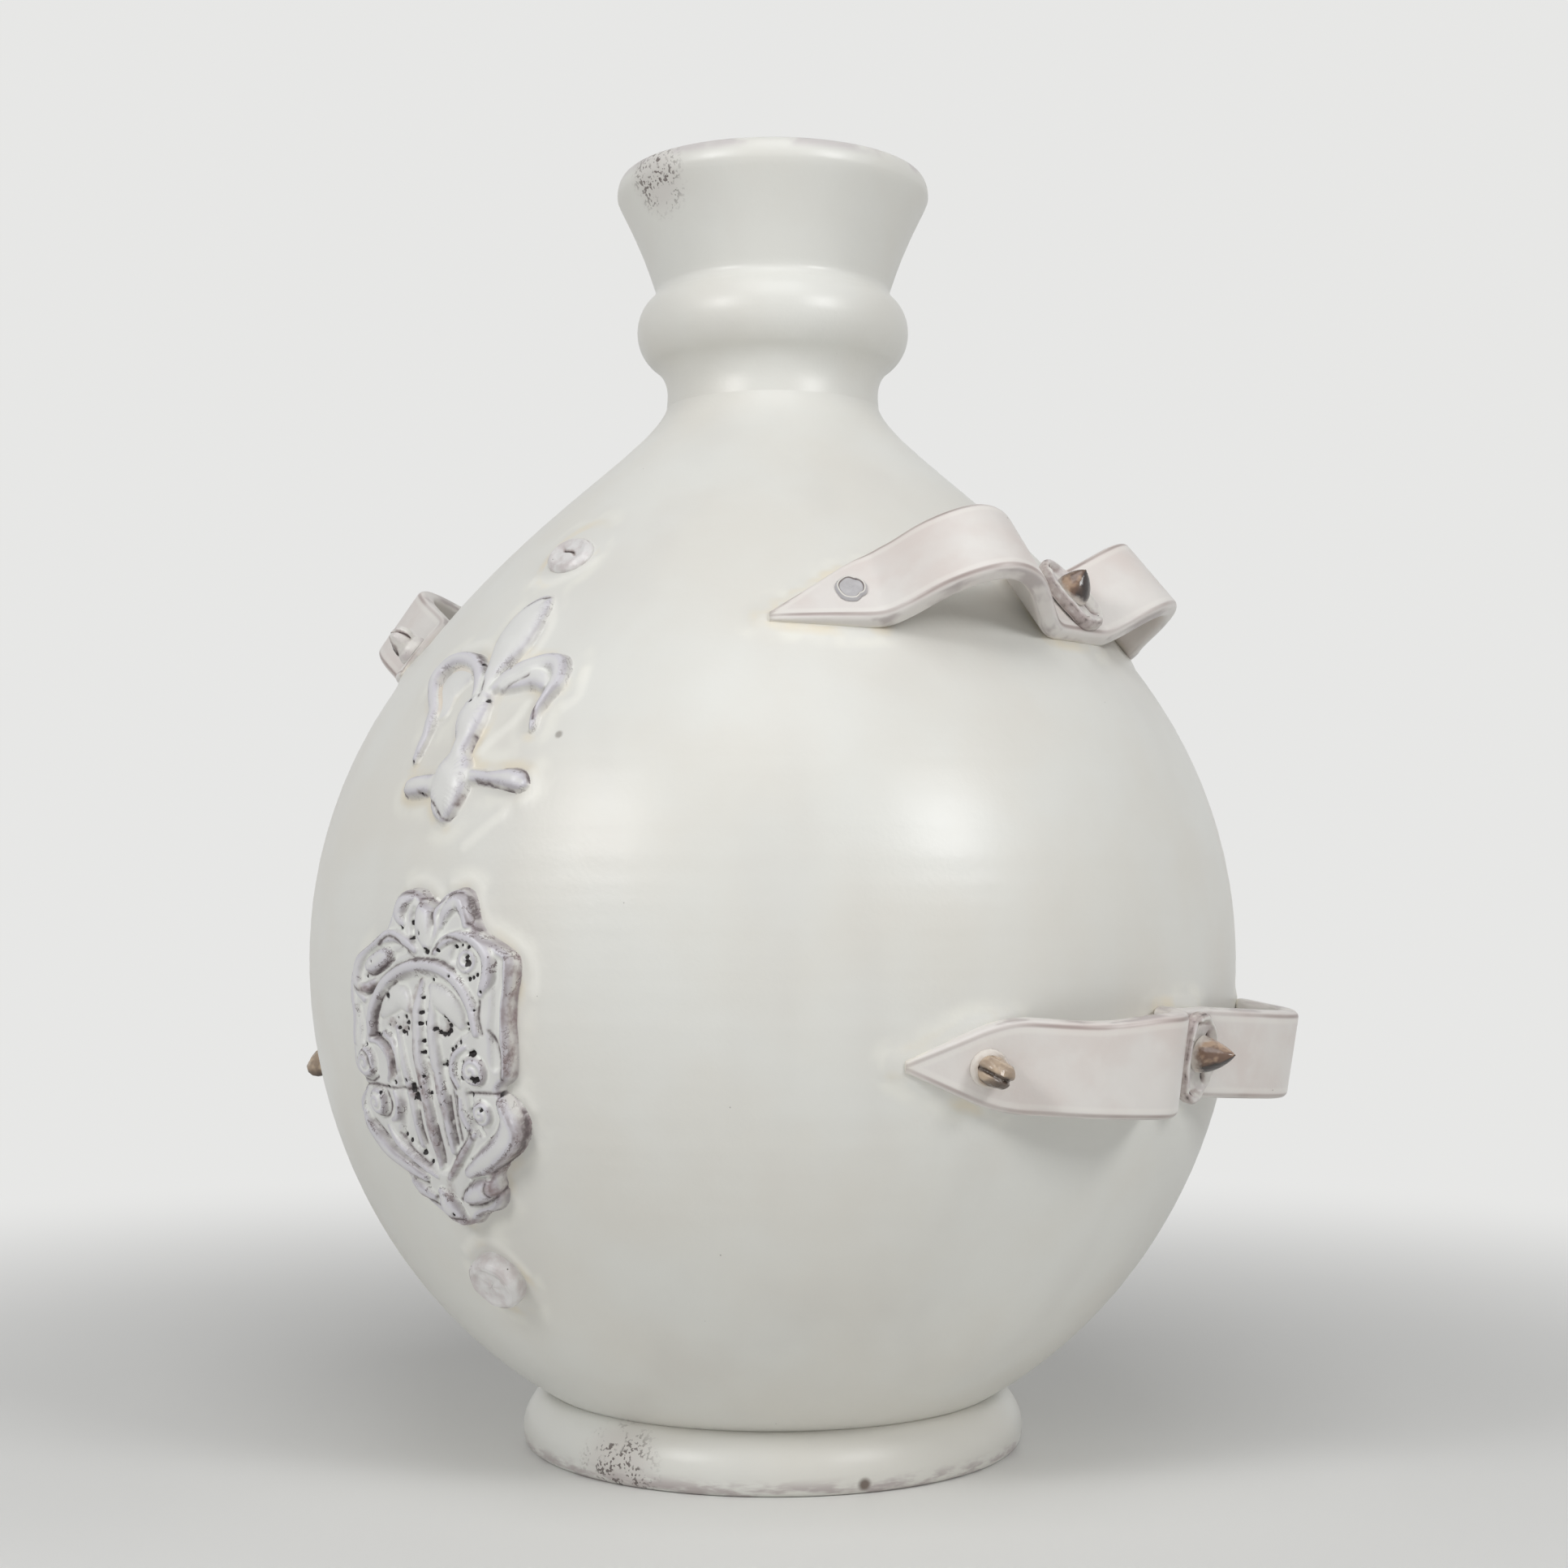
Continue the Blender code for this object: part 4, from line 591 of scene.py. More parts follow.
# %% [markdown]
# ## How near is the applied clay?
#
# Glaze gathers round every piece of clay that is pressed on the globe, and runs cream there. So each
# point of the globe is told how far it is from the nearest lily roll, shield plate, button or strap.
# Places on the front travel as a pair, spots: how many millimetres they lie sideways of the front's
# middle line, and their heights in millimetres.

# %% Distances to the applied clay
FAR = 1e3                  # a distance in millimetres that is beyond everything on the front
NO_CLAY = 0.05             # the distance in metres that is written where no clay is near
NO_RIDGE = 50.0            # the same for ridges, in millimetres


def from_run(a, b, spots):
    """For a straight run from a to b: how far along it a place lies, from 0 to 1, and how far away."""
    sideways, height = spots
    run = b[:2] - a[:2]
    t = np.clip(((sideways - a[0]) * run[0] + (height - a[1]) * run[1]) / (run @ run), 0.0, 1.0)
    return t, np.hypot(sideways - a[0] - run[0] * t, height - a[1] - run[1] * t)


def roll_field(rows, spots):
    """For a roll: distance to its edge, distance over half width, and rise, at places in millimetres."""
    path = smooth_path(rows, 5)
    edge = np.full(np.shape(spots[0]), FAR)
    share = np.full(np.shape(spots[0]), FAR)
    rise = np.zeros(np.shape(spots[0]))
    for a, b in zip(path, path[1:]):
        t, far = from_run(a, b, spots)
        half = np.maximum(a[2] + (b[2] - a[2]) * t, 0.3)
        nearer = far / half < share
        share = np.where(nearer, far / half, share)
        rise = np.where(nearer, a[-1] + (b[-1] - a[-1]) * t, rise)
        edge = np.minimum(edge, far - half)
    return edge, share, rise


def rolls_distance(rolls, spots):
    """Distance to the nearest edge of some rolls, negative inside one."""
    return np.min([roll_field(rows, spots)[0] for rows in rolls.values()], axis=0)


def outline_field(outline, spots):
    """Distance to an outline, negative inside it."""
    sideways, height = spots
    corners = np.array(outline, float)
    near = np.full(np.shape(spots[0]), FAR)
    inside = np.zeros(np.shape(spots[0]), bool)
    for a, b in zip(corners, np.roll(corners, -1, axis=0)):
        near = np.minimum(near, from_run(a, b, spots)[1])
        run = b - a
        slope = run[0] / run[1] if run[1] else 0.0
        crosses = (a[1] > height) != (b[1] > height)
        inside ^= crosses & (sideways < a[0] + slope * (height - a[1]))
    return np.where(inside, -near, near)


def line_distance(lines, spots):
    """Distance to the nearest of some thin lines."""
    near = np.full(np.shape(spots[0]), FAR)
    for path in (smooth_path(line, 4) for line in lines):
        for a, b in zip(path, path[1:]):
            near = np.minimum(near, from_run(a, b, spots)[1])
    return near


def closed_path(corners):
    """A smooth closed outline through the corners."""
    return smooth_path(corners + corners[:1], 3)[:-1]


PLATE_EDGE = closed_path(PLATE_OUTLINE)


def shield_distance(spots):
    """Distance to the shield's edge, negative inside it."""
    return outline_field(PLATE_EDGE, spots)


def lily_distance(spots):
    """Distance to the lily's edge, negative inside it."""
    return rolls_distance(LILY_ROLLS, spots)


BUTTONS = {"upper_button": (-2.6, 271.2), "lower_button": (-0.8, 66.0)}
BUTTON_RADIUS = 9.0


def relief_distance(spots):
    """Distance in millimetres to the nearest edge of the front's relief, negative inside it."""
    sideways, height = spots
    near = np.minimum(shield_distance(spots), lily_distance(spots))
    for middle, level in BUTTONS.values():
        near = np.minimum(near, np.hypot(sideways - middle, height - level) - BUTTON_RADIUS)
    return near


def strap_distance(points):
    """Distance in metres from points to where the nearest strap lies on the globe."""
    near = np.full(len(points), NO_CLAY)
    for name in STRAPS:
        _, rise, middle, across, _, half_width, _ = strap_stations(name, NEAR_STEPS)
        close = np.abs(points[:, 2] - middle[:, 2].mean()) < NO_CLAY
        chosen = points[close]
        best = near[close]
        for spot, direction, half, lifted in zip(middle[::2], across[::2], half_width[::2], rise[::2]):
            apart = chosen - spot
            sideways = apart @ direction
            along = np.linalg.norm(apart - sideways[:, None] * direction, axis=1)
            past = np.maximum(np.abs(sideways) - half, 0.0)
            best = np.minimum(best, np.hypot(past, np.maximum(along - 0.003, 0.0)) + 1.5 * lifted)
        near[close] = best
    return near


print("distance fields ready")

# %% [markdown]
# ## Writing node trees as sums
#
# Shapes and glazes are both worked out by nodes. One small class lets the wires between nodes be added
# and multiplied like numbers, so that a row of maths nodes reads like a sum. A second class holds the
# node tree, and adds every other node in one way.

# %% Node tools
class Wire:
    """An output of a node, with arithmetic."""

    def __init__(self, bench, socket):
        self.bench = bench
        self.socket = socket

    def math(self, operation, *others):
        values = {i + 1: other for i, other in enumerate(others)}
        return self.bench.node("ShaderNodeMath", {"operation": operation}, {0: self, **values})

    def __add__(self, other):
        return self.math("ADD", other)

    __radd__ = __add__

    def __mul__(self, other):
        return self.math("MULTIPLY", other)

    __rmul__ = __mul__

    def __sub__(self, other):
        return self.math("SUBTRACT", other)

    def __rsub__(self, other):
        return self.bench.node("ShaderNodeMath", {"operation": "SUBTRACT"}, {0: other, 1: self})

    def part(self, index):
        """One number of a vector: 0 for X, 1 for Y and 2 for Z."""
        return self.bench.node("ShaderNodeSeparateXYZ", {}, {0: self}, index)

    def within(self, low, high):
        """0 up to low, 1 from high on, and a soft step between."""
        return self.bench.node("ShaderNodeMapRange", {"interpolation_type": "SMOOTHSTEP"},
                               {"Value": self, "From Min": low, "From Max": high})


class Bench:
    """A node tree that is being worked on."""

    def __init__(self, tree):
        self.tree = tree

    def plug(self, made, sockets):
        """Give the sockets of a node their numbers, colours or wires."""
        for key, value in sockets.items():
            if isinstance(value, Wire):
                self.tree.links.new(value.socket, made.inputs[key])
            else:
                made.inputs[key].default_value = value

    def node(self, kind, settings, sockets, output=0):
        """Add a node, with its settings and its sockets, and answer one of its outputs if it has any."""
        made = self.tree.nodes.new(kind)
        for key, value in settings.items():
            setattr(made, key, value)
        self.plug(made, sockets)
        return Wire(self, made.outputs[output]) if made.outputs else None

    def vector(self, x, y, z):
        """A vector from three numbers."""
        return self.node("ShaderNodeCombineXYZ", {}, {0: x, 1: y, 2: z})


class Group(Bench):
    """A Geometry Nodes group with named inputs, which bends a grid into a piece of clay."""

    def __init__(self, name, inputs):
        super().__init__(bpy.data.node_groups.new(name, "GeometryNodeTree"))
        for title, kind, value in inputs:
            socket = self.tree.interface.new_socket(title, in_out="INPUT", socket_type="NodeSocket" + kind)
            if value is not None:
                socket.default_value = value
        self.tree.interface.new_socket("Clay", in_out="OUTPUT", socket_type="NodeSocketGeometry")
        self.position = self.node("GeometryNodeInputPosition", {}, {})

    def given(self, name):
        """One of the named inputs."""
        return self.node("NodeGroupInput", {}, {}, name)

    def count(self, mesh):
        """The number of points of a mesh."""
        return self.node("GeometryNodeAttributeDomainSize", {"component": "MESH"}, {"Geometry": mesh},
                         "Point Count")

    def order(self, axis, count):
        """The number of the grid's column or row in which a point lies."""
        return ((self.position.part(axis) + 0.5) * (count - 1.0)).math("ROUND")

    def read(self, mesh, kind, value, index):
        """A value at a numbered point of a mesh; a value's name stands for an attribute."""
        if isinstance(value, str):
            value = self.node("GeometryNodeInputNamedAttribute", {"data_type": kind}, {"Name": value})
        return self.node("GeometryNodeSampleIndex", {"data_type": kind},
                         {"Geometry": mesh, "Value": value, "Index": index})

    def finish(self, columns, rows, place):
        """Move the points of a grid to their places, close the seams and hand over the clay."""
        grid = self.node("GeometryNodeMeshGrid", {},
                         {"Size X": 1.0, "Size Y": 1.0, "Vertices X": columns, "Vertices Y": rows})
        moved = self.node("GeometryNodeSetPosition", {}, {"Geometry": grid, "Position": place})
        merged = self.node("GeometryNodeMergeByDistance", {},
                           {"Geometry": moved, "Distance": MERGE_DISTANCE})
        real = self.node("GeometryNodeRealizeInstances", {}, {"Geometry": merged})
        glazed = self.node("GeometryNodeSetMaterial", {},
                           {"Geometry": real, "Material": self.given("Glaze")})
        self.node("NodeGroupOutput", {}, {"Clay": glazed})
        return self.tree


print("node tools ready")

# %% [markdown]
# ## The thrown pieces
#
# The globe, collar, funnel and foot are thrown on a wheel. In Geometry Nodes a wheel is a grid: one side
# of the grid goes round, the other reads the outline's points. Throwing rings and a slight wobble are
# noise that only pulls the clay inwards, so that the vase never outgrows its frame. Gather packs the
# grid's columns at the front, where the ridges of glaze need a finer mesh.

# %% The throwing wheel
def wheel_group():
    """A node group that turns an outline round the Z axis, with throwing rings."""
    wheel = Group("throwing_wheel", (
        ("Outline", "Geometry", None), ("Columns", "Int", 360), ("Ring Depth", "Float", 0.00012),
        ("Rings per Metre", "Float", 220.0), ("Wobble", "Float", 0.0002), ("Seed", "Float", 0.0),
        ("Gather", "Float", 0.0), ("Glaze", "Material", None)))
    outline = wheel.given("Outline")
    seed = wheel.given("Seed")
    rows = wheel.count(outline)
    even = (wheel.position.part(0) + 0.5) * math.tau
    turn = even - wheel.given("Gather") * even.math("COSINE")
    east, north = turn.math("COSINE"), turn.math("SINE")
    profile = wheel.read(outline, "FLOAT_VECTOR", wheel.position, wheel.order(1, rows))
    radius, height = profile.part(0), profile.part(2)
    ring = wheel.node("ShaderNodeTexNoise", {"noise_dimensions": "1D"},
                      {"W": height * wheel.given("Rings per Metre") + seed, "Scale": 1.0, "Detail": 1.0})
    ground = wheel.vector(east * radius, north * radius, height)
    lean = wheel.node("ShaderNodeTexNoise", {"noise_dimensions": "4D"},
                      {"Vector": ground, "W": seed, "Scale": 11.0, "Detail": 0.0})
    inwards = ring * wheel.given("Ring Depth") + lean * wheel.given("Wobble")
    turned = radius - inwards * (radius * 20.0).math("MINIMUM", 1.0)
    place = wheel.vector(east * turned, north * turned, height)
    return wheel.finish(wheel.given("Columns") + 1.0, rows, place)


WHEEL = wheel_group()


def run_nodes(name, start, group, values):
    """Run a node group on a mesh, keep the result as a plain mesh, and return it as a piece."""
    source = add_piece(name + "_start", start)
    modifier = source.modifiers.new("Shape", "NODES")
    modifier.node_group = group
    for socket in group.interface.items_tree:
        if socket.in_out == "INPUT" and socket.name in values:
            modifier[socket.identifier] = values[socket.name]
    bpy.context.view_layer.update()
    mesh = bpy.data.meshes.new_from_object(source.evaluated_get(bpy.context.evaluated_depsgraph_get()))
    bpy.data.objects.remove(source, do_unlink=True)
    close_mesh(mesh)
    mesh.name = name
    return add_piece(name, mesh)


def throw(name, outline, ring_depth, wobble, seed, columns, gather=0.0):
    """Throw one piece from its outline; gather packs the columns together at the front."""
    points = [(float(radius), 0.0, float(height)) for radius, height in outline]
    if points[0][0] > 0:
        points.append(points[0])
    mesh = line_mesh(name + "_outline", points)
    piece = run_nodes(name, mesh, WHEEL, {"Columns": columns, "Ring Depth": ring_depth, "Wobble": wobble,
                                          "Seed": seed, "Gather": gather})
    print(name, "has", len(piece.data.polygons), "faces")
    return piece


# %% [markdown]
# ## Globe, collar, funnel and foot
#
# The globe has a 7 mm wall and a thicker floor. The collar is a waist and a fat bead, the funnel flares
# to a rounded lip, and the foot is a low ring with a bulge. Each is thrown from its own outline. The
# potter smears slip over the joints, so the collar's waist runs a little way down the neck, and the
# funnel's foot ends in a fillet.

# %% Throw the vessel
GLOBE_WALL = 0.007
FLOOR = GLOBE_BASE + 0.009
NECK_BORE = 0.0268
FUNNEL_HEIGHT = 0.3615
FUNNEL_RADIUS = 0.0374
FUNNEL_BORE = 0.0309
FUNNEL_FOOT = 0.003
MOUTH_RADIUS = 0.0496
LIP_HALF = 0.0036
LIP_HEIGHT = 0.0055
TOTAL_HEIGHT = 0.4
BEAD_HEIGHT = 0.351
BEAD_RING = 0.0322
BEAD_DEPTH = 0.011
BEAD_HALF_HEIGHT = 0.0125
TONGUE = 0.003
LAP = 0.0002
SLIP = 0.0003              # thickness of the slip that is smeared over a joint
SMEAR = 0.0055             # how far the slip is drawn down the globe's neck
FOOT_RADIUS = 0.0792
FOOT_BORE = 0.06
FOOT_BULGE = 0.0055
FOOT_TOP = 0.0175


def globe_rows():
    """Inside and outside of the globe, from the middle of the floor round to the middle of the bottom."""
    outer = globe_outline(92, 66, 132)
    inner = offset_outline(globe_outline(62, 42, 92), -GLOBE_WALL)[::9]
    inner = inner[inner[:, 1] > FLOOR][::-1]
    flank = offset_outline(outer, -GLOBE_WALL)[::-1]
    floor_radius = np.interp(FLOOR, flank[:, 1], flank[:, 0])
    tongue = [(NECK_BORE, NECK_HEIGHT + TONGUE), (NECK_BORE + 0.0025, NECK_HEIGHT + TONGUE),
              (NECK_BORE + 0.0025, NECK_HEIGHT)]
    floor = [(0.0, FLOOR), (floor_radius * 0.5, FLOOR), (floor_radius, FLOOR)]
    bottom = [(outer[-1][0] * 0.5, GLOBE_BASE), (0.0, GLOBE_BASE)]
    return np.vstack((floor, inner, tongue, outer, bottom))


def collar_rows():
    """The collar's bore, its top, its bead and its waist."""
    angle = np.radians(np.linspace(58.0, -58.0, 33))
    bead = np.column_stack((BEAD_RING + BEAD_DEPTH * np.cos(angle),
                            BEAD_HEIGHT + BEAD_HALF_HEIGHT * np.sin(angle)))
    foot = bead[-1]
    middle = (NECK_HEIGHT + foot[1]) / 2
    waist = bezier(foot, (foot[0] - (foot[0] - NECK_RADIUS) * 0.6, middle + (foot[1] - middle) * 0.6),
                   (NECK_RADIUS, middle), (NECK_RADIUS + SLIP, NECK_HEIGHT), 14)[1:]
    smear = (float(skin_at(NECK_HEIGHT - SMEAR)[0]) - 3 * SLIP, NECK_HEIGHT - SMEAR)
    waist = np.vstack((waist, np.linspace(waist[-1], smear, 5)[1:]))
    bore = [(NECK_BORE + 0.0028, NECK_HEIGHT - LAP), (NECK_BORE + 0.0028, NECK_HEIGHT + TONGUE + LAP),
            (NECK_BORE, NECK_HEIGHT + TONGUE + LAP), (FUNNEL_BORE - 0.001, FUNNEL_HEIGHT - 0.006),
            (FUNNEL_BORE, FUNNEL_HEIGHT + LAP), (FUNNEL_RADIUS, FUNNEL_HEIGHT + LAP)]
    return np.vstack((bore, bead, waist))


def funnel_rows():
    """The funnel's bore, its rounded lip and its flared outside."""
    angle = np.radians(np.linspace(195.0, -15.0, 22))
    lip = np.column_stack((MOUTH_RADIUS - LIP_HALF + LIP_HALF * np.cos(angle),
                           TOTAL_HEIGHT - LIP_HEIGHT + LIP_HEIGHT * np.sin(angle)))
    inside = np.linspace((FUNNEL_BORE, FUNNEL_HEIGHT), lip[0], 12)[:-1]
    inside[:, 0] -= 0.0009 * np.sin(np.linspace(0, math.pi, 11))
    foot = (FUNNEL_RADIUS, FUNNEL_HEIGHT + FUNNEL_FOOT)
    outside = np.linspace(lip[-1], foot, 16)[1:]
    outside[:, 0] -= 0.0007 * np.sin(np.linspace(0, math.pi, 15))
    reach = FUNNEL_RADIUS + 0.0034
    rise = math.sqrt(1 - ((reach - BEAD_RING) / BEAD_DEPTH) ** 2)
    on_bead = (reach, BEAD_HEIGHT + BEAD_HALF_HEIGHT * rise - SLIP)
    joint = bezier(foot, (FUNNEL_RADIUS - 0.0003, FUNNEL_HEIGHT + 0.001),
                   (FUNNEL_RADIUS + 0.001, FUNNEL_HEIGHT), on_bead, 8)[1:]
    return np.vstack((inside, lip, outside, joint))


def foot_rows():
    """The foot's bore, its seat against the globe, its shoulder and its bulge."""
    seat = offset_outline(globe_outline(62, 42, 92), -LAP)[::-1]
    seat = seat[(seat[:, 0] > FOOT_BORE) & (seat[:, 1] < FOOT_TOP)]
    top = (float(np.interp(FOOT_TOP, SKIN[:, 1], SKIN[:, 0])), FOOT_TOP)
    widest = (FOOT_RADIUS, FOOT_BULGE)
    halfway = (top[0] + (FOOT_RADIUS - top[0]) * 0.5, 0.0163)
    shoulder = bezier(top, halfway, (FOOT_RADIUS, 0.0103), widest, 18)
    bulge = bezier(widest, (FOOT_RADIUS, FOOT_BULGE / 2), (0.079, 0.0007), (0.0768, 0.0), 10)[1:]
    bore = [(0.0608, 0.0), (FOOT_BORE, 0.0007), (FOOT_BORE, float(seat[0][1]))]
    return np.vstack((bore, seat, shoulder, bulge))


globe = throw("globe", globe_rows(), 0.00016, 0.00025, 3.0, 304, 0.74)
collar = throw("collar", collar_rows(), 0.0001, 0.00015, 5.0, 180)
funnel = throw("funnel", funnel_rows(), 0.0001, 0.0002, 7.0, 180)
foot = throw("foot", foot_rows(), 0.0001, 0.0002, 9.0, 240)


RIDGE_RISE = 0.32          # millimetres that a ridge of glaze stands up
PAD_RISE = 0.9             # millimetres that the slip under a strap stands up


def tell_globe():
    """Write on the globe how near the clay is, and raise the ridges and the slip under the straps."""
    points = places(globe.data)
    near = strap_distance(points)
    pressed = near.copy()
    ridge = np.full(len(points), NO_RIDGE)
    azimuth = np.arctan2(points[:, 0], -points[:, 1])
    radius, out, up = skin_at(points[:, 2])
    front = np.abs(azimuth) < 0.6
    spots = (azimuth[front] * radius[front] / MM, points[front, 2] / MM)
    near[front] = np.minimum(near[front], relief_distance(spots) * MM)
    ridge[front] = line_distance(RIDGES, spots)
    inside = np.hypot(points[:, 0], points[:, 1]) < radius - 0.003
    near[inside] = NO_CLAY
    pressed[inside] = NO_CLAY
    ridge[inside] = NO_RIDGE
    write_value(globe.data, "lap", near)
    write_value(globe.data, "ridge", ridge)
    raised = MM * (RIDGE_RISE * np.exp(-(ridge / 1.9) ** 2) + PAD_RISE * np.exp(-(pressed / 0.0024) ** 2))
    outward = np.column_stack((out * np.sin(azimuth), -out * np.cos(azimuth), up))
    globe.data.vertices.foreach_set("co", (points + outward * raised[:, None]).astype(np.float32).ravel())


tell_globe()
for piece in (collar, funnel, foot):
    write_value(piece.data, "lap", np.full(len(piece.data.vertices), NO_CLAY))
    write_value(piece.data, "ridge", np.full(len(piece.data.vertices), NO_RIDGE))
print("ridges raised on the globe")

# %% [markdown]
# ## The relief as a landscape
#
# The lily and the shield are pressed from soft clay, so their shapes flow into one another. They are made
# as height maps over the globe: for each place the height of the clay is worked out, with rolls melted
# together by a soft maximum. Spiral cuts and grooves are then taken away. Beyond the clay the sheet dives
# under the globe.

# %% Heights of the relief
def melt(a, b, width):
    """The greater of two heights, rounded where they meet."""
    share = np.clip(0.5 + 0.5 * (a - b) / width, 0.0, 1.0)
    return b + (a - b) * share + width * share * (1 - share)


def roll_height(rows, spots, flatness, ground=0.0):
    """Height of a roll in millimetres, -1 outside it; a greater flatness gives steeper sides."""
    _, share, rise = roll_field(rows, spots)
    return np.where(share < 1, ground + rise * np.sqrt(np.clip(1 - share ** flatness, 0.0, 1.0)), -1.0)


SOFT_MELT = 0.5
SHARP_MELT = 0.3
LILY_FLATNESS = 2.5
SHIELD_FLATNESS = 2.3
GROOVE_DEPTH = 0.3         # the lily's grooves
GROOVE_WIDTH = 0.55
CARVING_DEPTH = 0.35       # the shield's grooves
CARVING_WIDTH = 0.5
CUT_DEPTH = 0.55           # the spiral cuts of the volutes
CUT_WIDTH = 0.45
PLATE_HEIGHT = 3.8
FILLET_RISE = 0.85
FILLET_REACH = 0.8
FILLET_SINK = 0.5


def fillet(near):
    """The slip that was smeared round pressed clay: a small slope that dives below the skin."""
    return FILLET_RISE * np.exp(-np.maximum(near, 0.0) / FILLET_REACH) - FILLET_SINK


def pit_field(pits, spots):
    """1 in the middle of a pit and 0 outside all of them."""
    sideways, height = spots
    deep = np.zeros(np.shape(spots[0]))
    for middle, level, radius in pits:
        deep = np.maximum(deep, 1 - ease(np.hypot(sideways - middle, height - level) / radius, 0.2, 1.5))
    return deep


def volute_height(volute, spots):
    """A round boss with a spiral cut into it."""
    sideways, height = spots
    middle, level, radius, rise, turn = volute
    east, north = sideways - middle, height - level
    far = np.hypot(east, north)
    dome = rise * np.sqrt(np.clip(1 - (far / radius) ** 2.4, 0.0, 1.0))
    winding = far / (radius * 0.5) - turn * np.arctan2(north, east) / math.tau
    cut = np.abs(winding - np.round(winding)) * radius * 0.5
    return np.where(far < radius, dome - CUT_DEPTH * np.exp(-(cut / CUT_WIDTH) ** 2), -4.0)


def lily_height(spots):
    """The lily: soft rolls melted together, with shallow grooves along its outlines."""
    high = np.full(np.shape(spots[0]), -1.0)
    for rows in LILY_ROLLS.values():
        high = melt(high, roll_height(rows, spots, LILY_FLATNESS), SOFT_MELT)
    groove = line_distance(LILY_LINES, spots)
    high = melt(high, fillet(lily_distance(spots)), SHARP_MELT)
    return high - GROOVE_DEPTH * np.exp(-(groove / GROOVE_WIDTH) ** 2)


OVAL_FIELD = (
    (-24.6, 133.4), (-23, 140), (-19.4, 145), (-13.4, 149.4), (-5, 152), (4, 151.6), (10, 148.2),
    (13.4, 143.6), (15, 137), (9, 133), (5.6, 126.4), (7, 120.6), (6.6, 115), (9, 109), (4, 103.4),
    (-1, 98), (-5, 97.6), (-9, 100), (-14, 103.4), (-19, 107.4), (-17.4, 111), (-15.4, 116),
    (-16.4, 120.6), (-15.4, 125), (-16, 131), (-20, 134.2),
)
SIDE_HOLLOWS = (
    ((24, 155, 2.6, 1), (23.8, 146, 2.4, 1), (22.6, 137, 2.2, 1), (21.8, 128, 1.8, 0.8)),
    ((-30.6, 142, 1.6, 0.8), (-29.8, 137, 1.8, 0.8), (-30.6, 133, 1.4, 0.6)),
    ((-14, 156, 1.6, 0.8), (-9.6, 157.4, 1.4, 0.6)), ((9.4, 156, 1.8, 0.9), (10.4, 158.6, 1.4, 0.7)),
    ((-6.4, 168.6, 1.2, 1), (-6.8, 164, 1.2, 1), (-5.6, 160.4, 0.8, 0.8)),
    ((11.6, 121, 1.2, 0.7), (12.2, 112.6, 1.6, 1), (14.2, 109.6, 1.2, 0.8)),
)


def shield_ground(spots):
    """The bare plate: rounded at its edge, sunk inside the oval and in hollows between the scrolls."""
    edge = shield_distance(spots)
    depth = np.clip(-edge / 1.5, 0.0, 1.0)
    oval = -outline_field(closed_path(OVAL_FIELD), spots)
    sunk = 1.25 * ease(oval, -0.4, 1.8) - 0.7 * ease(oval, 2.0, 10.0)
    for rows in SIDE_HOLLOWS:
        _, share, rise = roll_field(rows, spots)
        sunk = np.maximum(sunk, rise * (1 - ease(share, 0.2, 1.1)))
    return PLATE_HEIGHT * np.sqrt(1 - (1 - depth) ** 2) - sunk * ease(-edge, 0.6, 2.4)


def shield_height(spots):
    """The shield: the plate, then its rim, ribs, scrolls and volutes, and shallow grooves along them."""
    ground = shield_ground(spots)
    edge = shield_distance(spots)
    high = np.where(edge < 0, ground, -1.0)
    for rows in SHIELD_ROLLS.values():
        high = melt(high, roll_height(rows, spots, SHIELD_FLATNESS, ground), SHARP_MELT)
    for volute in VOLUTES:
        high = np.maximum(high, ground + volute_height(volute, spots))
    groove = line_distance(SHIELD_LINES, spots)
    return melt(high, fillet(edge), SHARP_MELT) - CARVING_DEPTH * np.exp(-(groove / CARVING_WIDTH) ** 2)


plate_middle = shield_ground((np.array([-3.0]), np.array([128.0])))
print("the plate's middle stands", round(float(plate_middle[0]), 2), "mm high")

# %% [markdown]
# ## Laying the landscapes on the globe
#
# A height map becomes a closed sheet: the top carries the heights, the underside lies inside the globe's
# wall, and cells far from the clay are left out. Pits and the unevenness of the hand are added here. Each
# point also learns how steep the clay is and whether it is hollow or proud there, because glaze runs off
# edges and gathers in hollows, and steep slopes are also painted darker as shade. It learns how near the
# next groove, brown stain, painted shadow and ridge are.

# %% Relief sheets
def blurred(field, cells):
    """The field averaged over a square window, three times over, which is close to a soft blur."""
    for _ in range(3):
        for axis in (0, 1):
            width = 2 * cells + 1
            padding = [(cells + 1, cells) if a == axis else (0, 0) for a in (0, 1)]
            run = np.cumsum(np.pad(field, padding, mode="edge"), axis=axis)
            ends = np.take(run, range(width, run.shape[axis]), axis=axis)
            starts = np.take(run, range(run.shape[axis] - width), axis=axis)
            field = (ends - starts) / width
    return field


SHEET_STEP = 0.36          # millimetres between two points of a sheet
SHEET_UNDERSIDE = -2.4     # where the underside lies, inside the globe's wall
CLAY_MARGIN = 2.2          # how far a sheet reaches beyond its clay
HAND_WAVE = 0.16
PIT_DEPTH = 1.1
FRONT_LIMIT = -0.15095     # just inside the frame's front, so that no point passes it
HOLLOW_CELLS = 2           # proud or hollow is measured against a blur of this many cells


def open_edges(faces):
    """The edges that only one face uses, each as it runs in that face."""
    edges = {}
    for face in faces:
        for a, b in zip(face, np.roll(face, -1)):
            if (int(b), int(a)) in edges:
                del edges[int(b), int(a)]
            else:
                edges[int(a), int(b)] = True
    return edges


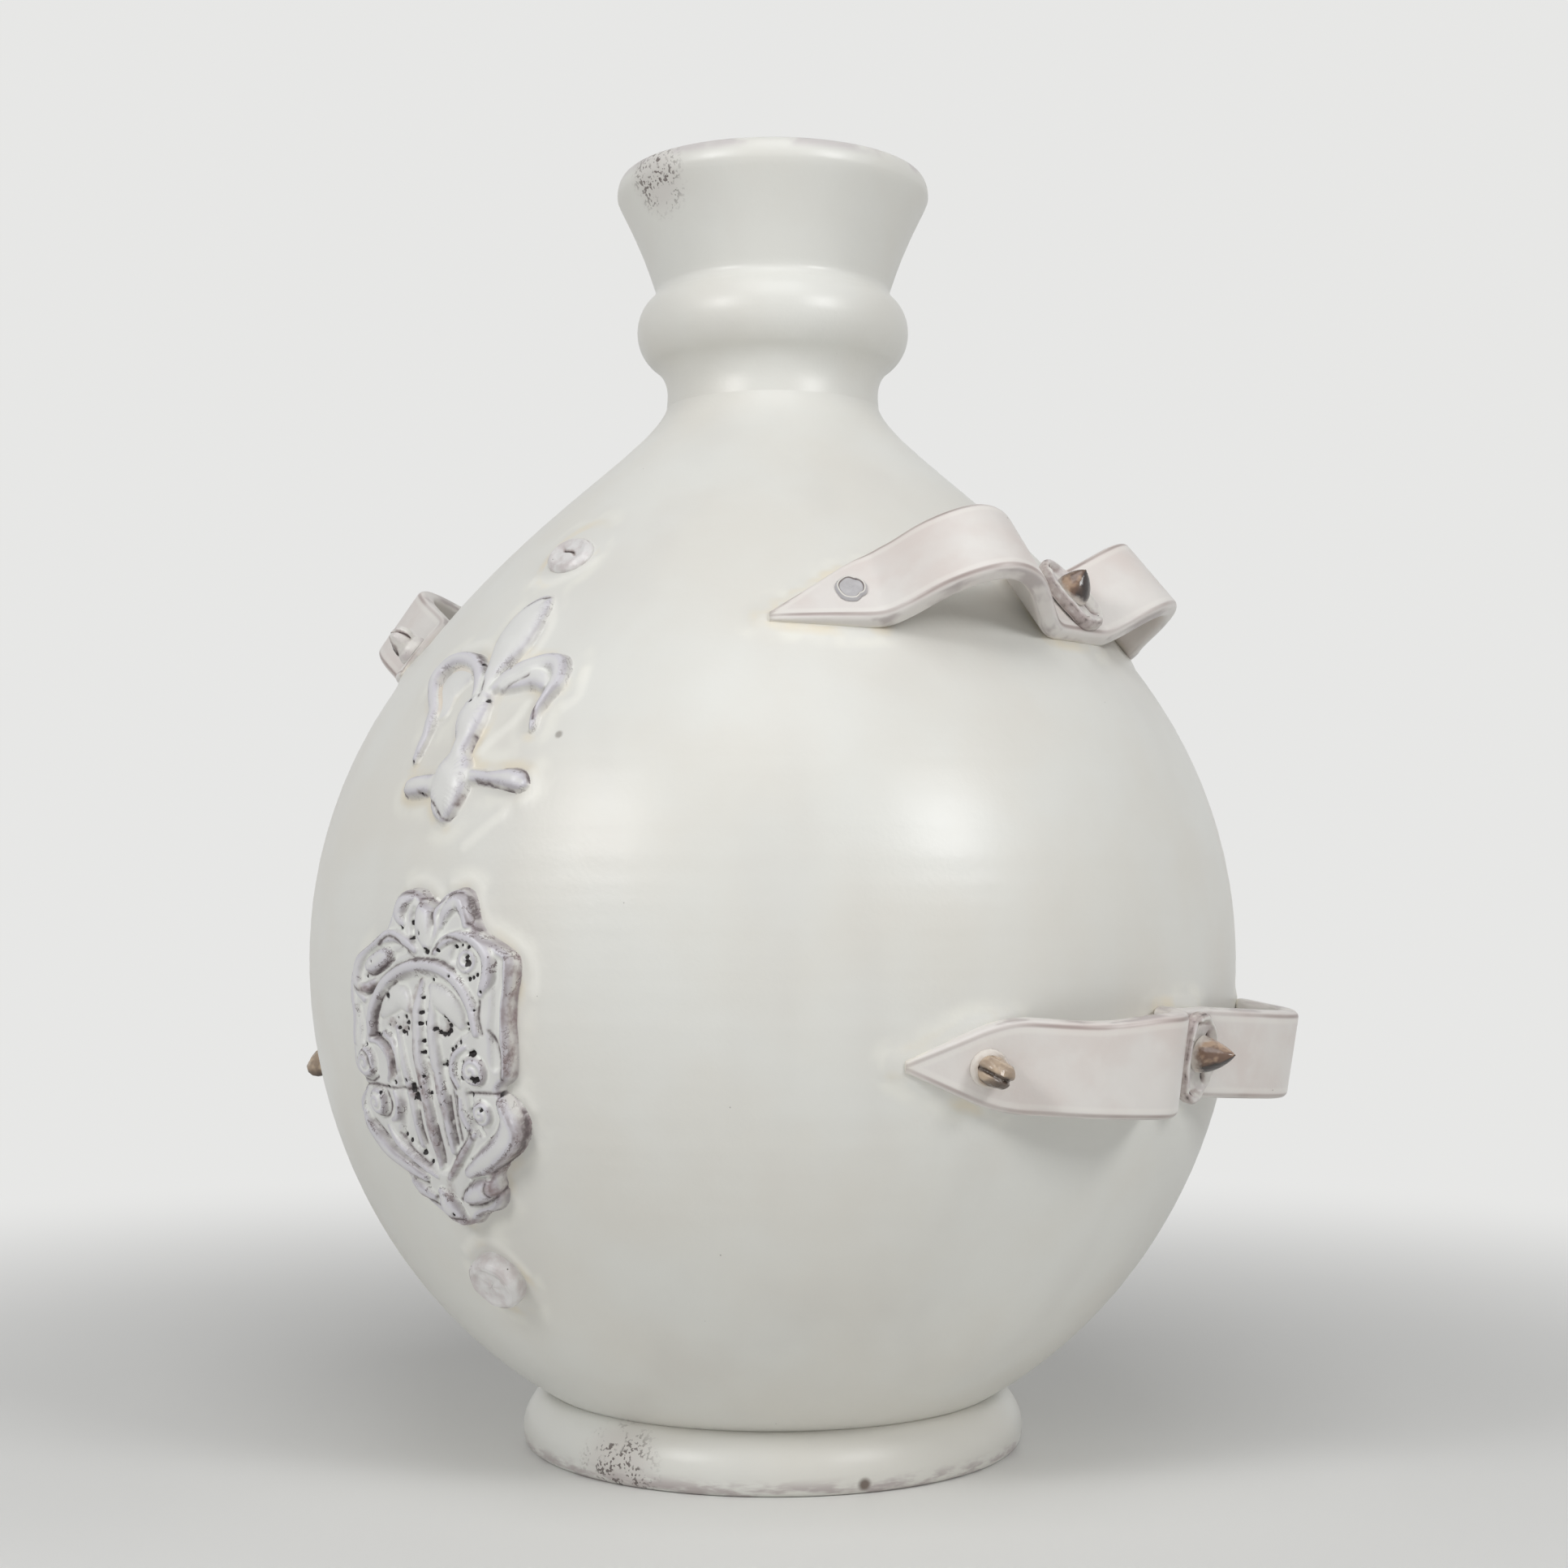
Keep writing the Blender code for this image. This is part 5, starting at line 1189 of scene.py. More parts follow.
def sheet_piece(name, low, high, height_of, distance_of, lines, pits, stains):
    """A relief sheet between two corners in millimetres, with the values its glaze reads."""
    across = np.arange(low[0], high[0] + SHEET_STEP, SHEET_STEP)
    upwards = np.arange(low[1], high[1] + SHEET_STEP, SHEET_STEP)
    spots = np.meshgrid(across, upwards, indexing="ij")
    sideways, height = spots
    azimuth = sideways * MM / skin_at(height * MM)[0]
    lift = height_of(spots)
    near = distance_of(spots)
    steep = np.hypot(*np.gradient(blurred(lift, 1), SHEET_STEP))
    proud = lift - blurred(lift, HOLLOW_CELLS)
    pit = pit_field(pits, spots)
    uneven = unevenness(on_skin(azimuth, height * MM, 0.0), 0.009, 21)
    lift = lift + HAND_WAVE * uneven * ease(lift, 0.5, 2.0) - PIT_DEPTH * pit * ease(lift, 0.2, 1.4)
    top = on_skin(azimuth, height * MM, lift * MM)
    top[..., 1] = np.maximum(top[..., 1], FRONT_LIMIT)
    bottom = on_skin(azimuth, height * MM, SHEET_UNDERSIDE * MM)
    rows, columns = sideways.shape
    cells = grid_faces(rows, columns, False)
    kept = cells[near.ravel()[cells].min(axis=1) < CLAY_MARGIN]
    count = rows * columns
    walls = np.array([(b, a, a + count, b + count) for a, b in open_edges(kept)])
    used, faces = np.unique(np.vstack((kept, kept[:, ::-1] + count, walls)), return_inverse=True)
    points = np.concatenate((top.reshape(-1, 3), bottom.reshape(-1, 3)))[used]
    mesh = face_mesh(name, points, faces.reshape(-1, 4))
    fields = {"lap": near * MM, "proud": proud, "steep": steep, "pit": pit, "lift": lift,
              "line": line_distance(lines, spots),
              "ridge": line_distance(RIDGES, spots),
              "stain_and_shade": rolls_distance(stains, spots)}
    for key, field in fields.items():
        write_value(mesh, key, np.tile(field.ravel(), 2)[used])
    close_mesh(mesh, merge=False)
    print(name, "has", len(mesh.polygons), "faces and stands up", round(float(lift.max()), 2), "mm")
    return add_piece(name, mesh)


lily = sheet_piece("lily", (-38.0, 189.0), (28.0, 262.0), lily_height, lily_distance, LILY_LINES, LILY_PITS,
                   LILY_STAINS)
shield = sheet_piece("shield", (-41.0, 78.5), (34.0, 179.0), shield_height, shield_distance, SHIELD_LINES,
                     SHIELD_PITS_AND_SHADOWS, SHIELD_STAINS_AND_SHADOWS)

# %% [markdown]
# ## The straps
#
# A strap is cut from a rolled slab, laid on the globe and pressed down at its ends and its middle. In
# Geometry Nodes it is a grid once more: one side follows the strap's path and the other goes round a
# rounded section. The path carries the width and thickness at each place, so the points come from the
# same rule as the middle.

# %% The strap press
STRAP_UNEVENNESS = 0.00035


def press_group():
    """A node group that sweeps a rounded section along a path that carries its own directions."""
    press = Group("strap_press", (
        ("Path", "Geometry", None), ("Section", "Object", None), ("Corner", "Float", STRAP_CORNER),
        ("Unevenness", "Float", STRAP_UNEVENNESS), ("Seed", "Float", 0.0), ("Glaze", "Material", None)))
    path = press.given("Path")
    section = press.node("GeometryNodeObjectInfo", {"transform_space": "ORIGINAL"},
                         {"Object": press.given("Section")}, "Geometry")
    stations, corners = press.count(path), press.count(section)
    station, corner = press.order(0, stations), press.order(1, corners)
    middle = press.read(path, "FLOAT_VECTOR", press.position, station)
    half_width = press.read(path, "FLOAT", "half_width", station)
    half_thick = press.read(path, "FLOAT", "half_thick", station)
    sign = press.read(section, "FLOAT_VECTOR", press.position, corner)
    arc = press.read(section, "FLOAT_VECTOR", "arc", corner)
    rounding = press.given("Corner").math("MINIMUM", half_thick * 0.7)
    lump = press.node("ShaderNodeTexNoise", {"noise_dimensions": "4D"},
                      {"Vector": middle, "W": press.given("Seed"), "Scale": 70.0, "Detail": 1.0})
    swell = (lump - 0.62) * press.given("Unevenness") * (half_width * 120.0).math("MINIMUM", 1.0)
    pushes = []
    for axis, (name, half) in enumerate((("across", half_width), ("facing", half_thick))):
        reach = sign.part(axis) * (half - rounding) + arc.part(axis) * rounding + arc.part(axis) * swell
        scaled = {0: press.read(path, "FLOAT_VECTOR", name, station), "Scale": reach}
        pushes.append(press.node("ShaderNodeVectorMath", {"operation": "SCALE"}, scaled))
    push = press.node("ShaderNodeVectorMath", {"operation": "ADD"}, {0: pushes[0], 1: pushes[1]})
    place = press.node("ShaderNodeVectorMath", {"operation": "ADD"}, {0: middle, 1: push})
    return press.finish(stations, corners, place)


PRESS = press_group()


def rounded_section():
    """Corner signs and arc directions of a rounded section, closed, as one mesh."""
    spots, arcs = [], []
    for start, (east, north), (next_east, next_north), steps in (
            (0, (1, 1), (-1, 1), 14), (90, (-1, 1), (-1, -1), 3), (180, (-1, -1), (1, -1), 14),
            (270, (1, -1), (1, 1), 3)):
        for i in range(7):
            angle = math.radians(start + 90 * i / 6)
            spots.append((east, north, 0.0))
            arcs.append((math.cos(angle), math.sin(angle), 0.0))
        for i in range(1, steps):
            t = i / steps
            spots.append((east + (next_east - east) * t, north + (next_north - north) * t, 0.0))
            arcs.append(arcs[-1])
    spots.append(spots[0])
    arcs.append(arcs[0])
    mesh = line_mesh("strap_section", spots)
    write_value(mesh, "arc", arcs)
    return add_piece("strap_section", mesh)


SECTION = rounded_section()


def press_strap(name, seed):
    """Press one strap, with closed ends."""
    length, _, middle, across, facing, half_width, half_thick = strap_stations(name, PRESS_STEPS)
    rows = np.concatenate(([0], np.arange(len(length)), [len(length) - 1]))
    wide, thick = half_width[rows], half_thick[rows]
    wide[[0, -1]] = 0.0
    thick[[0, -1]] = 0.0
    mesh = line_mesh(name + "_path", middle[rows])
    carried = {"across": across[rows], "facing": facing[rows], "half_width": wide, "half_thick": thick}
    for key, values in carried.items():
        write_value(mesh, key, values)
    piece = run_nodes(name + "_band", mesh, PRESS, {"Section": SECTION, "Corner": STRAP_CORNER,
                                                   "Unevenness": STRAP_UNEVENNESS, "Seed": seed})
    tell_strap(piece, name)
    print(piece.name, "has", len(piece.data.polygons), "faces")
    return piece


def tell_strap(piece, name):
    """Write on a strap how near its edges and the globe's skin are, and how far along it a point lies."""
    length, _, middle, across, facing, half_width, half_thick = strap_stations(name, TELL_STEPS)
    points = places(piece.data)
    nearest = np.concatenate([np.argmin(((part[:, None, :] - middle[None]) ** 2).sum(axis=-1), axis=1)
                              for part in np.array_split(points, 12)])
    apart = points - middle[nearest]
    sideways = (apart * across[nearest]).sum(axis=1)
    outwards = (apart * facing[nearest]).sum(axis=1)
    radius, out, _ = skin_at(points[:, 2])
    told = {"rim": half_width[nearest] - np.abs(sideways), "outer": outwards / half_thick[nearest],
            "along": length[nearest], "lap": (np.hypot(points[:, 0], points[:, 1]) - radius) * out}
    for key, values in told.items():
        write_value(piece.data, key, values)


bands = {name: press_strap(name, 2.0 + 3 * i) for i, name in enumerate(STRAPS)}
bpy.data.objects.remove(SECTION, do_unlink=True)

# %% [markdown]
# ## Keepers, thorns, studs and buttons
#
# On each pinch lies a dish of clay that is squeezed narrow, with its two swollen ends bent down over the
# strap's edges. A thorn stands in it. Near the points of each strap stands a stud whose tip is torn and
# folded over. One stud has broken away and left a stump. Two buttons are pressed on the front. Every one
# is an outline that is turned round an axis and then bent, as a thumb would bend the clay.

# %% Small pieces
def small_piece(name, spot, out, across, outline, columns, shape, seed):
    """Stand a turned outline on a spot; shape() bends its points and tells where it is painted dark: brown
    glaze, and on thorns and studs also painted shade.
    """
    angle = np.linspace(0.0, math.tau, columns, endpoint=False)
    rows = np.array(outline, float)
    east = rows[:, :1] * np.cos(angle)
    north = rows[:, :1] * np.sin(angle)
    up = np.broadcast_to(rows[:, 1:], east.shape)
    tip = up / rows[:, 1].max()
    east, north, up, dark = shape(east, north, up, angle, seed)
    along = np.cross(across, out)
    points = np.array(spot) + east[..., None] * along + north[..., None] * across + up[..., None] * out
    return grid_piece(name, points, {"tip": tip, "dark": dark})


def dense(outline, steps):
    """The outline with more points on each of its straight runs."""
    rows = np.array(outline, float)
    parts = [np.linspace(a, b, steps, endpoint=False) for a, b in zip(rows, rows[1:])]
    return np.vstack(parts + [rows[-1:]])


def bell(value, middle, width):
    """1 in the middle, falling to 0 on both sides."""
    return np.exp(-((value - middle) / width) ** 2)


KEEPER_RADIUS = 0.0138
KEEPER_PINCH = 0.68
KEEPER_THICKNESS = 0.0032
SPIKE_HEIGHT = 0.0118
SPIKE_RADIUS = 0.0048
STUD_HEIGHT = 0.0098
STUD_RADIUS = 0.0047
STUMP_RADIUS = 0.0051
STUMP_HEIGHT = 0.0018
DOME_HEIGHT = 0.0036
DISC_HEIGHT = 0.005
BUTTON_SINK = 0.0015       # how deep a button's foot lies below the globe's skin


def keeper_outline():
    """The keeper's underside, its rounded edge and its dished top, from middle to middle."""
    edge = np.radians(np.linspace(-90.0, 90.0, 11))
    rim = np.column_stack((KEEPER_RADIUS - 0.002 + 0.002 * np.cos(edge), 0.0021 + 0.002 * np.sin(edge)))
    under = np.linspace((0.0004, 0.0001), rim[0], 10)[:-1]
    dish = np.linspace(rim[-1], (0.0004, 0.0), 44)[1:]
    share = dish[:, 0] / (KEEPER_RADIUS - 0.002)
    hollow = np.sin(np.clip((share - 0.2) / 0.8, 0.0, 1.0) * math.pi) ** 0.8
    dish[:, 1] = 0.0033 + 0.0008 * share ** 2 - 0.0021 * hollow
    return np.vstack((under, rim, dish))


def squeeze_keeper(east, north, up, angle, seed):
    """Narrow the dish along the strap, bend its ends down, and leave two slits where the clay was folded."""
    share = np.abs(north) / KEEPER_RADIUS
    across = east / KEEPER_RADIUS
    upper = ease(up, 0.0014, 0.0022)
    wave = (1 + 0.03 * np.sin(3 * angle + seed) + 0.02 * np.sin(5 * angle + 2 * seed)) / 1.05
    front_slit = bell(across, -0.52 + 0.22 * share ** 2, 0.075) * (1 - ease(share, 0.68, 0.86))
    rear_slit = bell(across, 0.54 - 0.14 * share ** 2, 0.06) * (1 - ease(share, 0.45, 0.7)) * 0.8
    ear = ease(share, 0.7, 1.0)
    fold = bell(share, 0.74, 0.05) * bell(across, 0.0, 0.35)
    slits = front_slit + rear_slit + 0.6 * fold
    up = up - 0.0011 * slits * upper + 0.0007 * bell(across, -0.34, 0.1) * upper * (1 - ear)
    up = up + 0.0009 * ear * upper - 0.0011 * ease(share, 0.5, 1.0)
    rim = bell(np.hypot(east, north) / KEEPER_RADIUS, 0.97, 0.05)
    return east * KEEPER_PINCH * wave, north * wave, up, np.clip(slits + 0.6 * rim, 0.0, 1.0)


def thorn_outline(radius, height):
    """A thorn with a broad foot, rounded flanks and a blunt tip."""
    t = np.linspace(0.0, 1.0, 34)
    body = radius * (1 - t ** 1.8) ** 0.8
    return np.vstack(([(0.0003, 0.0)], np.column_stack((body, t * height)), [(0.0003, height)]))


def bend_thorn(east, north, up, angle, seed):
    """Pinch the thorn between two fingers, hook its tip upwards, and paint shade on one side."""
    t = up / up.max()
    wave = 1 + 0.08 * np.sin(2 * angle + seed) * t + 0.04 * np.sin(3 * angle + 2 * seed)
    # dark is painted shade on one side of the thorn, stronger up the thorn
    dark = ease(0.5 - 0.5 * np.sin(angle - 0.6), 0.25, 0.75) * (0.4 + 0.6 * ease(t, 0.05, 0.3))
    return (east * wave + 0.0008, north * wave * (1 - 0.12 * t) + 0.0008 + 0.0018 * t * t,
            up, np.clip(dark, 0.0, 1.0))


# a stud has a collar of gathered glaze, a swollen waist and a blunt top
STUD_OUTLINE = dense([(0.0003, 0.0), (0.0052, 0.0), (0.0052, 0.0007), (0.0049, 0.0018), (0.0042, 0.003),
                      (0.0043, 0.0048), (0.0042, 0.0066), (0.0036, 0.0083), (0.0024, 0.0094),
                      (0.001, 0.0097), (0.0003, STUD_HEIGHT)], 5)


def fold_stud(east, north, up, angle, seed):
    """Tear the stud's top in two, and fold one half down over the other like a tongue."""
    t = up / STUD_HEIGHT
    turn = angle + seed
    far = np.hypot(east, north) / STUD_RADIUS
    high = ease(t, 0.28, 0.6)
    cleft = bell(np.sin(turn) * far, -0.12, 0.13) * high
    flap = ease(-np.cos(turn), -0.1, 0.6) * high
    side = ease(np.abs(np.sin(turn)), 0.75, 1.0) * high
    up = up - 0.0026 * flap * np.clip(far + 0.25, 0.0, 1.0) - 0.002 * cleft * ease(far, 0.0, 0.4)
    wave = 1 - 0.16 * side + 0.03 * np.sin(3 * turn) * high
    lean = 0.0007 * high * (1 - flap)
    shadow = np.clip(cleft + 0.8 * ease(-np.sin(angle), 0.3, 1.0) * high, 0.0, 1.0)
    return (east * wave + lean * np.cos(seed), north * wave - lean * np.sin(seed), up, shadow)


# the scar of a broken stud is a low ring round a rough hollow
STUMP_OUTLINE = dense([(0.0003, 0.0)] + [(STUMP_RADIUS * out, STUMP_HEIGHT * up) for out, up in (
    (1.0, 0.0), (0.97, 0.15), (0.88, 0.45), (0.8, 0.5), (0.73, 0.32))] + [(0.0003, STUMP_HEIGHT * 0.42)], 8)


def scar(east, north, up, angle, seed):
    """A heart-shaped hollow with a thin dark edge."""
    notch = bell(angle, 1.25, 0.3) * 0.6 + bell(angle, 5.35, 0.3)
    wave = 0.97 - 0.2 * notch + 0.035 * np.sin(2 * angle + seed) + 0.02 * np.sin(5 * angle)
    far = np.hypot(east, north) / STUMP_RADIUS
    rough = 0.00012 * np.sin(9 * far + 3 * angle) * (far < 0.7)
    return east * wave * 0.92, north * wave, up + rough * (up > 0.0005), bell(far, 0.76, 0.045)


def roughen(east, north, up, angle, seed):
    """A thick disc, a little out of round, with a line at its lower left where the glaze ran off."""
    wave = 0.97 + 0.02 * np.sin(2 * angle + seed) + 0.01 * np.sin(5 * angle + seed)
    far = np.hypot(east, north) / (BUTTON_RADIUS * MM)
    line = bell(far, 0.9, 0.035) * ease(np.cos(angle - 3.8), -0.2, 0.8) * (up > 0.004)
    return east * wave, north * wave, up * (0.93 + 0.05 * np.sin(3 * angle + seed) ** 2), line


def dome_outline():
    """A low domed button with a foot below the globe's skin."""
    angle = np.radians(np.linspace(0.0, 90.0, 30))
    crown = np.column_stack((BUTTON_RADIUS * MM * np.cos(angle), BUTTON_SINK + DOME_HEIGHT * np.sin(angle)))
    return np.vstack(([(0.0004, -BUTTON_SINK), (BUTTON_RADIUS * MM, -BUTTON_SINK)], crown[:-1],
                      [(0.0004, BUTTON_SINK + DOME_HEIGHT)]))


def dent_dome(east, north, up, angle, seed):
    """Squeeze the dome to a tilted oval with a raised rim, and press a crease into it with a fingernail."""
    radius = BUTTON_RADIUS * MM
    top = ease(up, 0.0016, 0.003)
    far = np.hypot(east, north) / radius
    rim = bell(far, 0.8, 0.08)
    wander = 0.06 + 0.05 * np.sin(east / radius * 9)
    crease = bell(north / radius, wander, 0.085) * bell(east / radius, 0.0, 0.52)
    up = np.where(up > BUTTON_SINK, BUTTON_SINK + (up - BUTTON_SINK) * 0.72, up)
    up = up - 0.0008 * (1 - ease(far, 0.45, 0.8)) * top + 0.0002 * rim * top - 0.0009 * crease * top
    long, short = east * 1.02, north * 0.78
    tilt = math.radians(-24.0)
    outline = bell(far, 0.93, 0.03) * 0.7 * ease(np.cos(angle - 2.6), -0.4, 0.6)
    east = long * math.cos(tilt) - short * math.sin(tilt)
    north = long * math.sin(tilt) + short * math.cos(tilt)
    return east, north, up, np.clip(crease * top + outline, 0.0, 1.0)


def disc_outline():
    """A thick flat button with a rounded shoulder and a barely sunk face."""
    top = BUTTON_SINK + DISC_HEIGHT
    radius = BUTTON_RADIUS * MM
    return dense([(0.0004, -BUTTON_SINK), (radius, -BUTTON_SINK), (radius, top - 0.0024),
                  (radius - 0.0004, top - 0.0009), (radius - 0.0014, top - 0.0001),
                  (radius - 0.0026, top), (radius - 0.004, top - 0.0006), (0.0004, top - 0.0005)], 7)


UPPER_THORN, LOWER_THORN = 0.62, 0.9        # their heights as shares of the CAD spike's
THORN_FOOT = 1.12                            # how much broader a thorn's foot is than the CAD spike's
keepers, thorns, studs = {}, {}, {}
for order, name in enumerate(STRAPS):
    spot, out, across = strap_top(name, 0.0)
    keepers[name] = small_piece(name + "_dish", spot + out * 0.0001, out, across, keeper_outline(), 96,
                                squeeze_keeper, 1.0 + order)
    spot = spot + out * (KEEPER_THICKNESS - 0.0006)
    reach = SPIKE_HEIGHT * (UPPER_THORN if "upper" in name else LOWER_THORN)
    thorns[name] = small_piece(name + "_thorn", spot, out, across,
                               thorn_outline(SPIKE_RADIUS * THORN_FOOT, reach), 56, bend_thorn, 2.0 + order)
    path = smooth_path(STRAPS[name][2], 2)
    for end, length in (("front", path[0, 0] + STUD_SETBACK), ("rear", path[-1, 0] - STUD_SETBACK)):
        spot, out, across = strap_top(name, length)
        gold_highlight = name == "right_upper" and end == "front"
        outline, shape = (STUMP_OUTLINE, scar) if gold_highlight else (STUD_OUTLINE, fold_stud)
        studs[name, end] = small_piece(f"{name}_{end}_knob", spot + out * 0.0001, out, across, outline, 64,
                                       shape, 0.4 + 1.7 * order + (end == "rear"))

buttons = {}
for name, (middle, level) in BUTTONS.items():
    radius, out_part, up_part = (float(v) for v in skin_at(level * MM))
    azimuth = middle * MM / radius
    out = np.array((out_part * math.sin(azimuth), -out_part * math.cos(azimuth), up_part))
    across = np.array((-up_part * math.sin(azimuth), up_part * math.cos(azimuth), out_part))
    spot = np.array((radius * math.sin(azimuth), -radius * math.cos(azimuth), level * MM))
    spot = spot - out * BUTTON_SINK
    outline, shape = (dome_outline(), dent_dome) if name == "upper_button" else (disc_outline(), roughen)
    buttons[name] = small_piece(name.replace("_", "_clay_"), spot, out, across, outline, 80, shape, 1.0)
print(len(keepers) + len(thorns) + len(studs) + len(buttons), "small pieces")

# %% [markdown]
# ## A pot of glaze
#
# A glaze is worked out from noise, from where the point is and from the values written on the mesh. A pot
# holds one material and its node tree. Its colour is built up in washes, each laid over the last where
# its share is 1.

# %% Shader tools
class Pot(Bench):
    """A pot of glaze: one material and its nodes."""

    def __init__(self, name):
        self.material = bpy.data.materials.new(name)
        self.material.use_nodes = True
        super().__init__(self.material.node_tree)
        self.shader = self.tree.nodes["Principled BSDF"]
        self.place = self.node("ShaderNodeTexCoord", {}, {}, "Object")

    def noise(self, size, detail=2.0, roughness=0.5, stretch=None):
        """Noise between 0 and 1 with features of a size in metres."""
        place = self.place
        if stretch:
            place = self.node("ShaderNodeVectorMath", {"operation": "MULTIPLY"}, {0: place, 1: stretch})
        return self.node("ShaderNodeTexNoise", {}, {"Vector": place, "Scale": 1.0 / size, "Detail": detail,
                                                    "Roughness": roughness})

    def dots(self, size, radius):
        """Small dots: 1 in a dot and 0 outside, about one dot to each cell of a size in metres."""
        far = self.node("ShaderNodeTexVoronoi", {}, {"Vector": self.place, "Scale": 1.0 / size})
        return 1.0 - far.within(radius * 0.6, radius)

    def value(self, name):
        """A value that was written on the mesh."""
        return self.node("ShaderNodeAttribute", {"attribute_name": name}, {}, "Fac")

    def near(self, spot, reach):
        """1 close to a spot in space, fading to 0 at a distance."""
        far = self.node("ShaderNodeVectorMath", {"operation": "DISTANCE"}, {0: self.place, 1: spot}, "Value")
        return 1.0 - far.within(reach * 0.35, reach)

    def mix(self, share, first, second):
        """A colour between two colours."""
        return self.node("ShaderNodeMix", {"data_type": "RGBA"}, {0: share, 6: first, 7: second}, 2)

    def ground(self, share, first, second):
        """Start the glaze's colour, between two colours."""
        self.colour = self.mix(share, first, second)

    def wash(self, share, red, green, blue):
        """Lay one more colour over the glaze's colour."""
        self.colour = self.mix(share, self.colour, tint(red, green, blue))

    def finish(self, roughness, bump, strength, depth, coat=0.0):
        """Plug the recipe into the shader."""
        normal = self.node("ShaderNodeBump", {}, {"Height": bump, "Strength": strength, "Distance": depth})
        self.plug(self.shader, {"Base Color": self.colour, "Roughness": roughness, "Coat Weight": coat,
                                "Coat Roughness": 0.12, "Normal": normal})
        return self.material


def tint(red, green, blue):
    """A colour from the 0-255 numbers of a picture, made linear."""
    parts = [v / 255 for v in (red, green, blue)]
    return (*[v / 12.92 if v <= 0.04045 else ((v + 0.055) / 1.055) ** 2.4 for v in parts], 1.0)


print("shader tools ready")

# %% [markdown]
# ## The white glaze
#
# A warm white, half-glossy glaze. It is a little uneven, with faint clouds, a few specks and a skin like
# orange peel. Round the applied clay it has gathered into a cream rim. On the relief it runs off the
# edges, which turn lilac grey with brown veins and lines, and it leaves black pits. The same grey is
# painted darker on steep slopes as shade, and some stains, lines and pits on the shield are painted
# shadows and shade beside its rib, under its capsules and lumps and on its horn. Speckled patches sit on
# the front of the lip and of the foot. The lily keeps more white than the shield.

# %% White glaze
def front_spot(sideways, height):
    """A spot on the skin, from its millimetres sideways of the front's middle line and its height."""
    return tuple(float(v) for v in on_skin(sideways * MM / float(skin_at(height)[0]), height, 0.0))


NICK = front_spot(28.5, 0.2166)
PETAL_HOLLOW = front_spot(-20.0, 0.231)
LIP_PATCH = (-0.0075, -0.048, 0.3915)
FOOT_PATCH = (0.0048, -0.0785, 0.005)
CHIP = (0.067, -0.0412, 0.003)


def white_ground(pot):
    """Build up the bare glaze, and tell its bump, its specks and its clouds."""
    clouds = pot.noise(0.05, 3.0)
    pot.ground(clouds.within(0.35, 0.7), tint(229, 229, 224), tint(226, 224, 217))
    streaks = pot.noise(0.035, 2.0, 0.5, (1.0, 1.0, 0.12))
    pot.wash(streaks.within(0.5, 0.75) * 0.35, 216, 214, 209)
    lap = pot.value("lap")
    gathered = lap.within(0.0016, 0.0036) * (1.0 - lap.within(0.0044, 0.008))
    gathered = gathered * pot.noise(0.014).within(0.4, 0.62)
    pot.wash(gathered * 0.5, 241, 240, 231)
    shade = lap.within(-0.0004, 0.0006) * (1.0 - lap.within(0.001, 0.004))
    pot.wash(shade * pot.noise(0.016).within(0.44, 0.66) * 0.6, 232, 221, 196)
    ridge = 1.0 - pot.value("ridge").within(0.2, 2.6)
    pot.wash(ridge * 0.5, 246, 245, 238)
    height = pot.place.part(2)
    lip = height.within(0.3955, 0.3985) * pot.noise(0.016, 3.0).within(0.42, 0.58)
    pot.wash(lip * 0.55, 190, 181, 184)
    foot = pot.noise(0.013, 3.0, 0.6, (1.0, 1.0, 4.0)).within(0.4, 0.62)
    foot = (1.0 - height.within(0.002, 0.0062)) * foot
    pot.wash(foot * 0.75, 176, 164, 164)
    chip = pot.near(CHIP, 0.0026)
    patch = (pot.near(LIP_PATCH, 0.014) + pot.near(FOOT_PATCH, 0.017)).math("MINIMUM", 1.0)
    speck = pot.noise(0.0011).within(0.52, 0.58) * pot.noise(0.006).within(0.42, 0.52) * patch
    stray = pot.dots(0.01, 0.03) * pot.noise(0.02, 1.0).within(0.55, 0.6)
    specks = (speck + stray * 0.6).math("MINIMUM", 1.0)
    pot.wash(patch * 0.35, 198, 188, 186)
    pot.wash(specks * 0.85, 88, 76, 72)
    pot.wash(chip, 120, 108, 100)
    pot.wash(pot.near(NICK, 0.0016), 170, 166, 160)
    peel = pot.noise(0.0016) * 0.3 + pot.noise(0.009) * 0.7
    bump = peel + gathered * 0.35 - specks * 0.8 - chip * 3.0
    return bump, specks, clouds


def white_recipe():
    """The glaze of the thrown vessel."""
    pot = Pot("white_glaze_real")
    bump, specks, clouds = white_ground(pot)
    return pot.finish(0.3 + clouds * 0.12 + specks * 0.2, bump, 0.28, 0.0005)


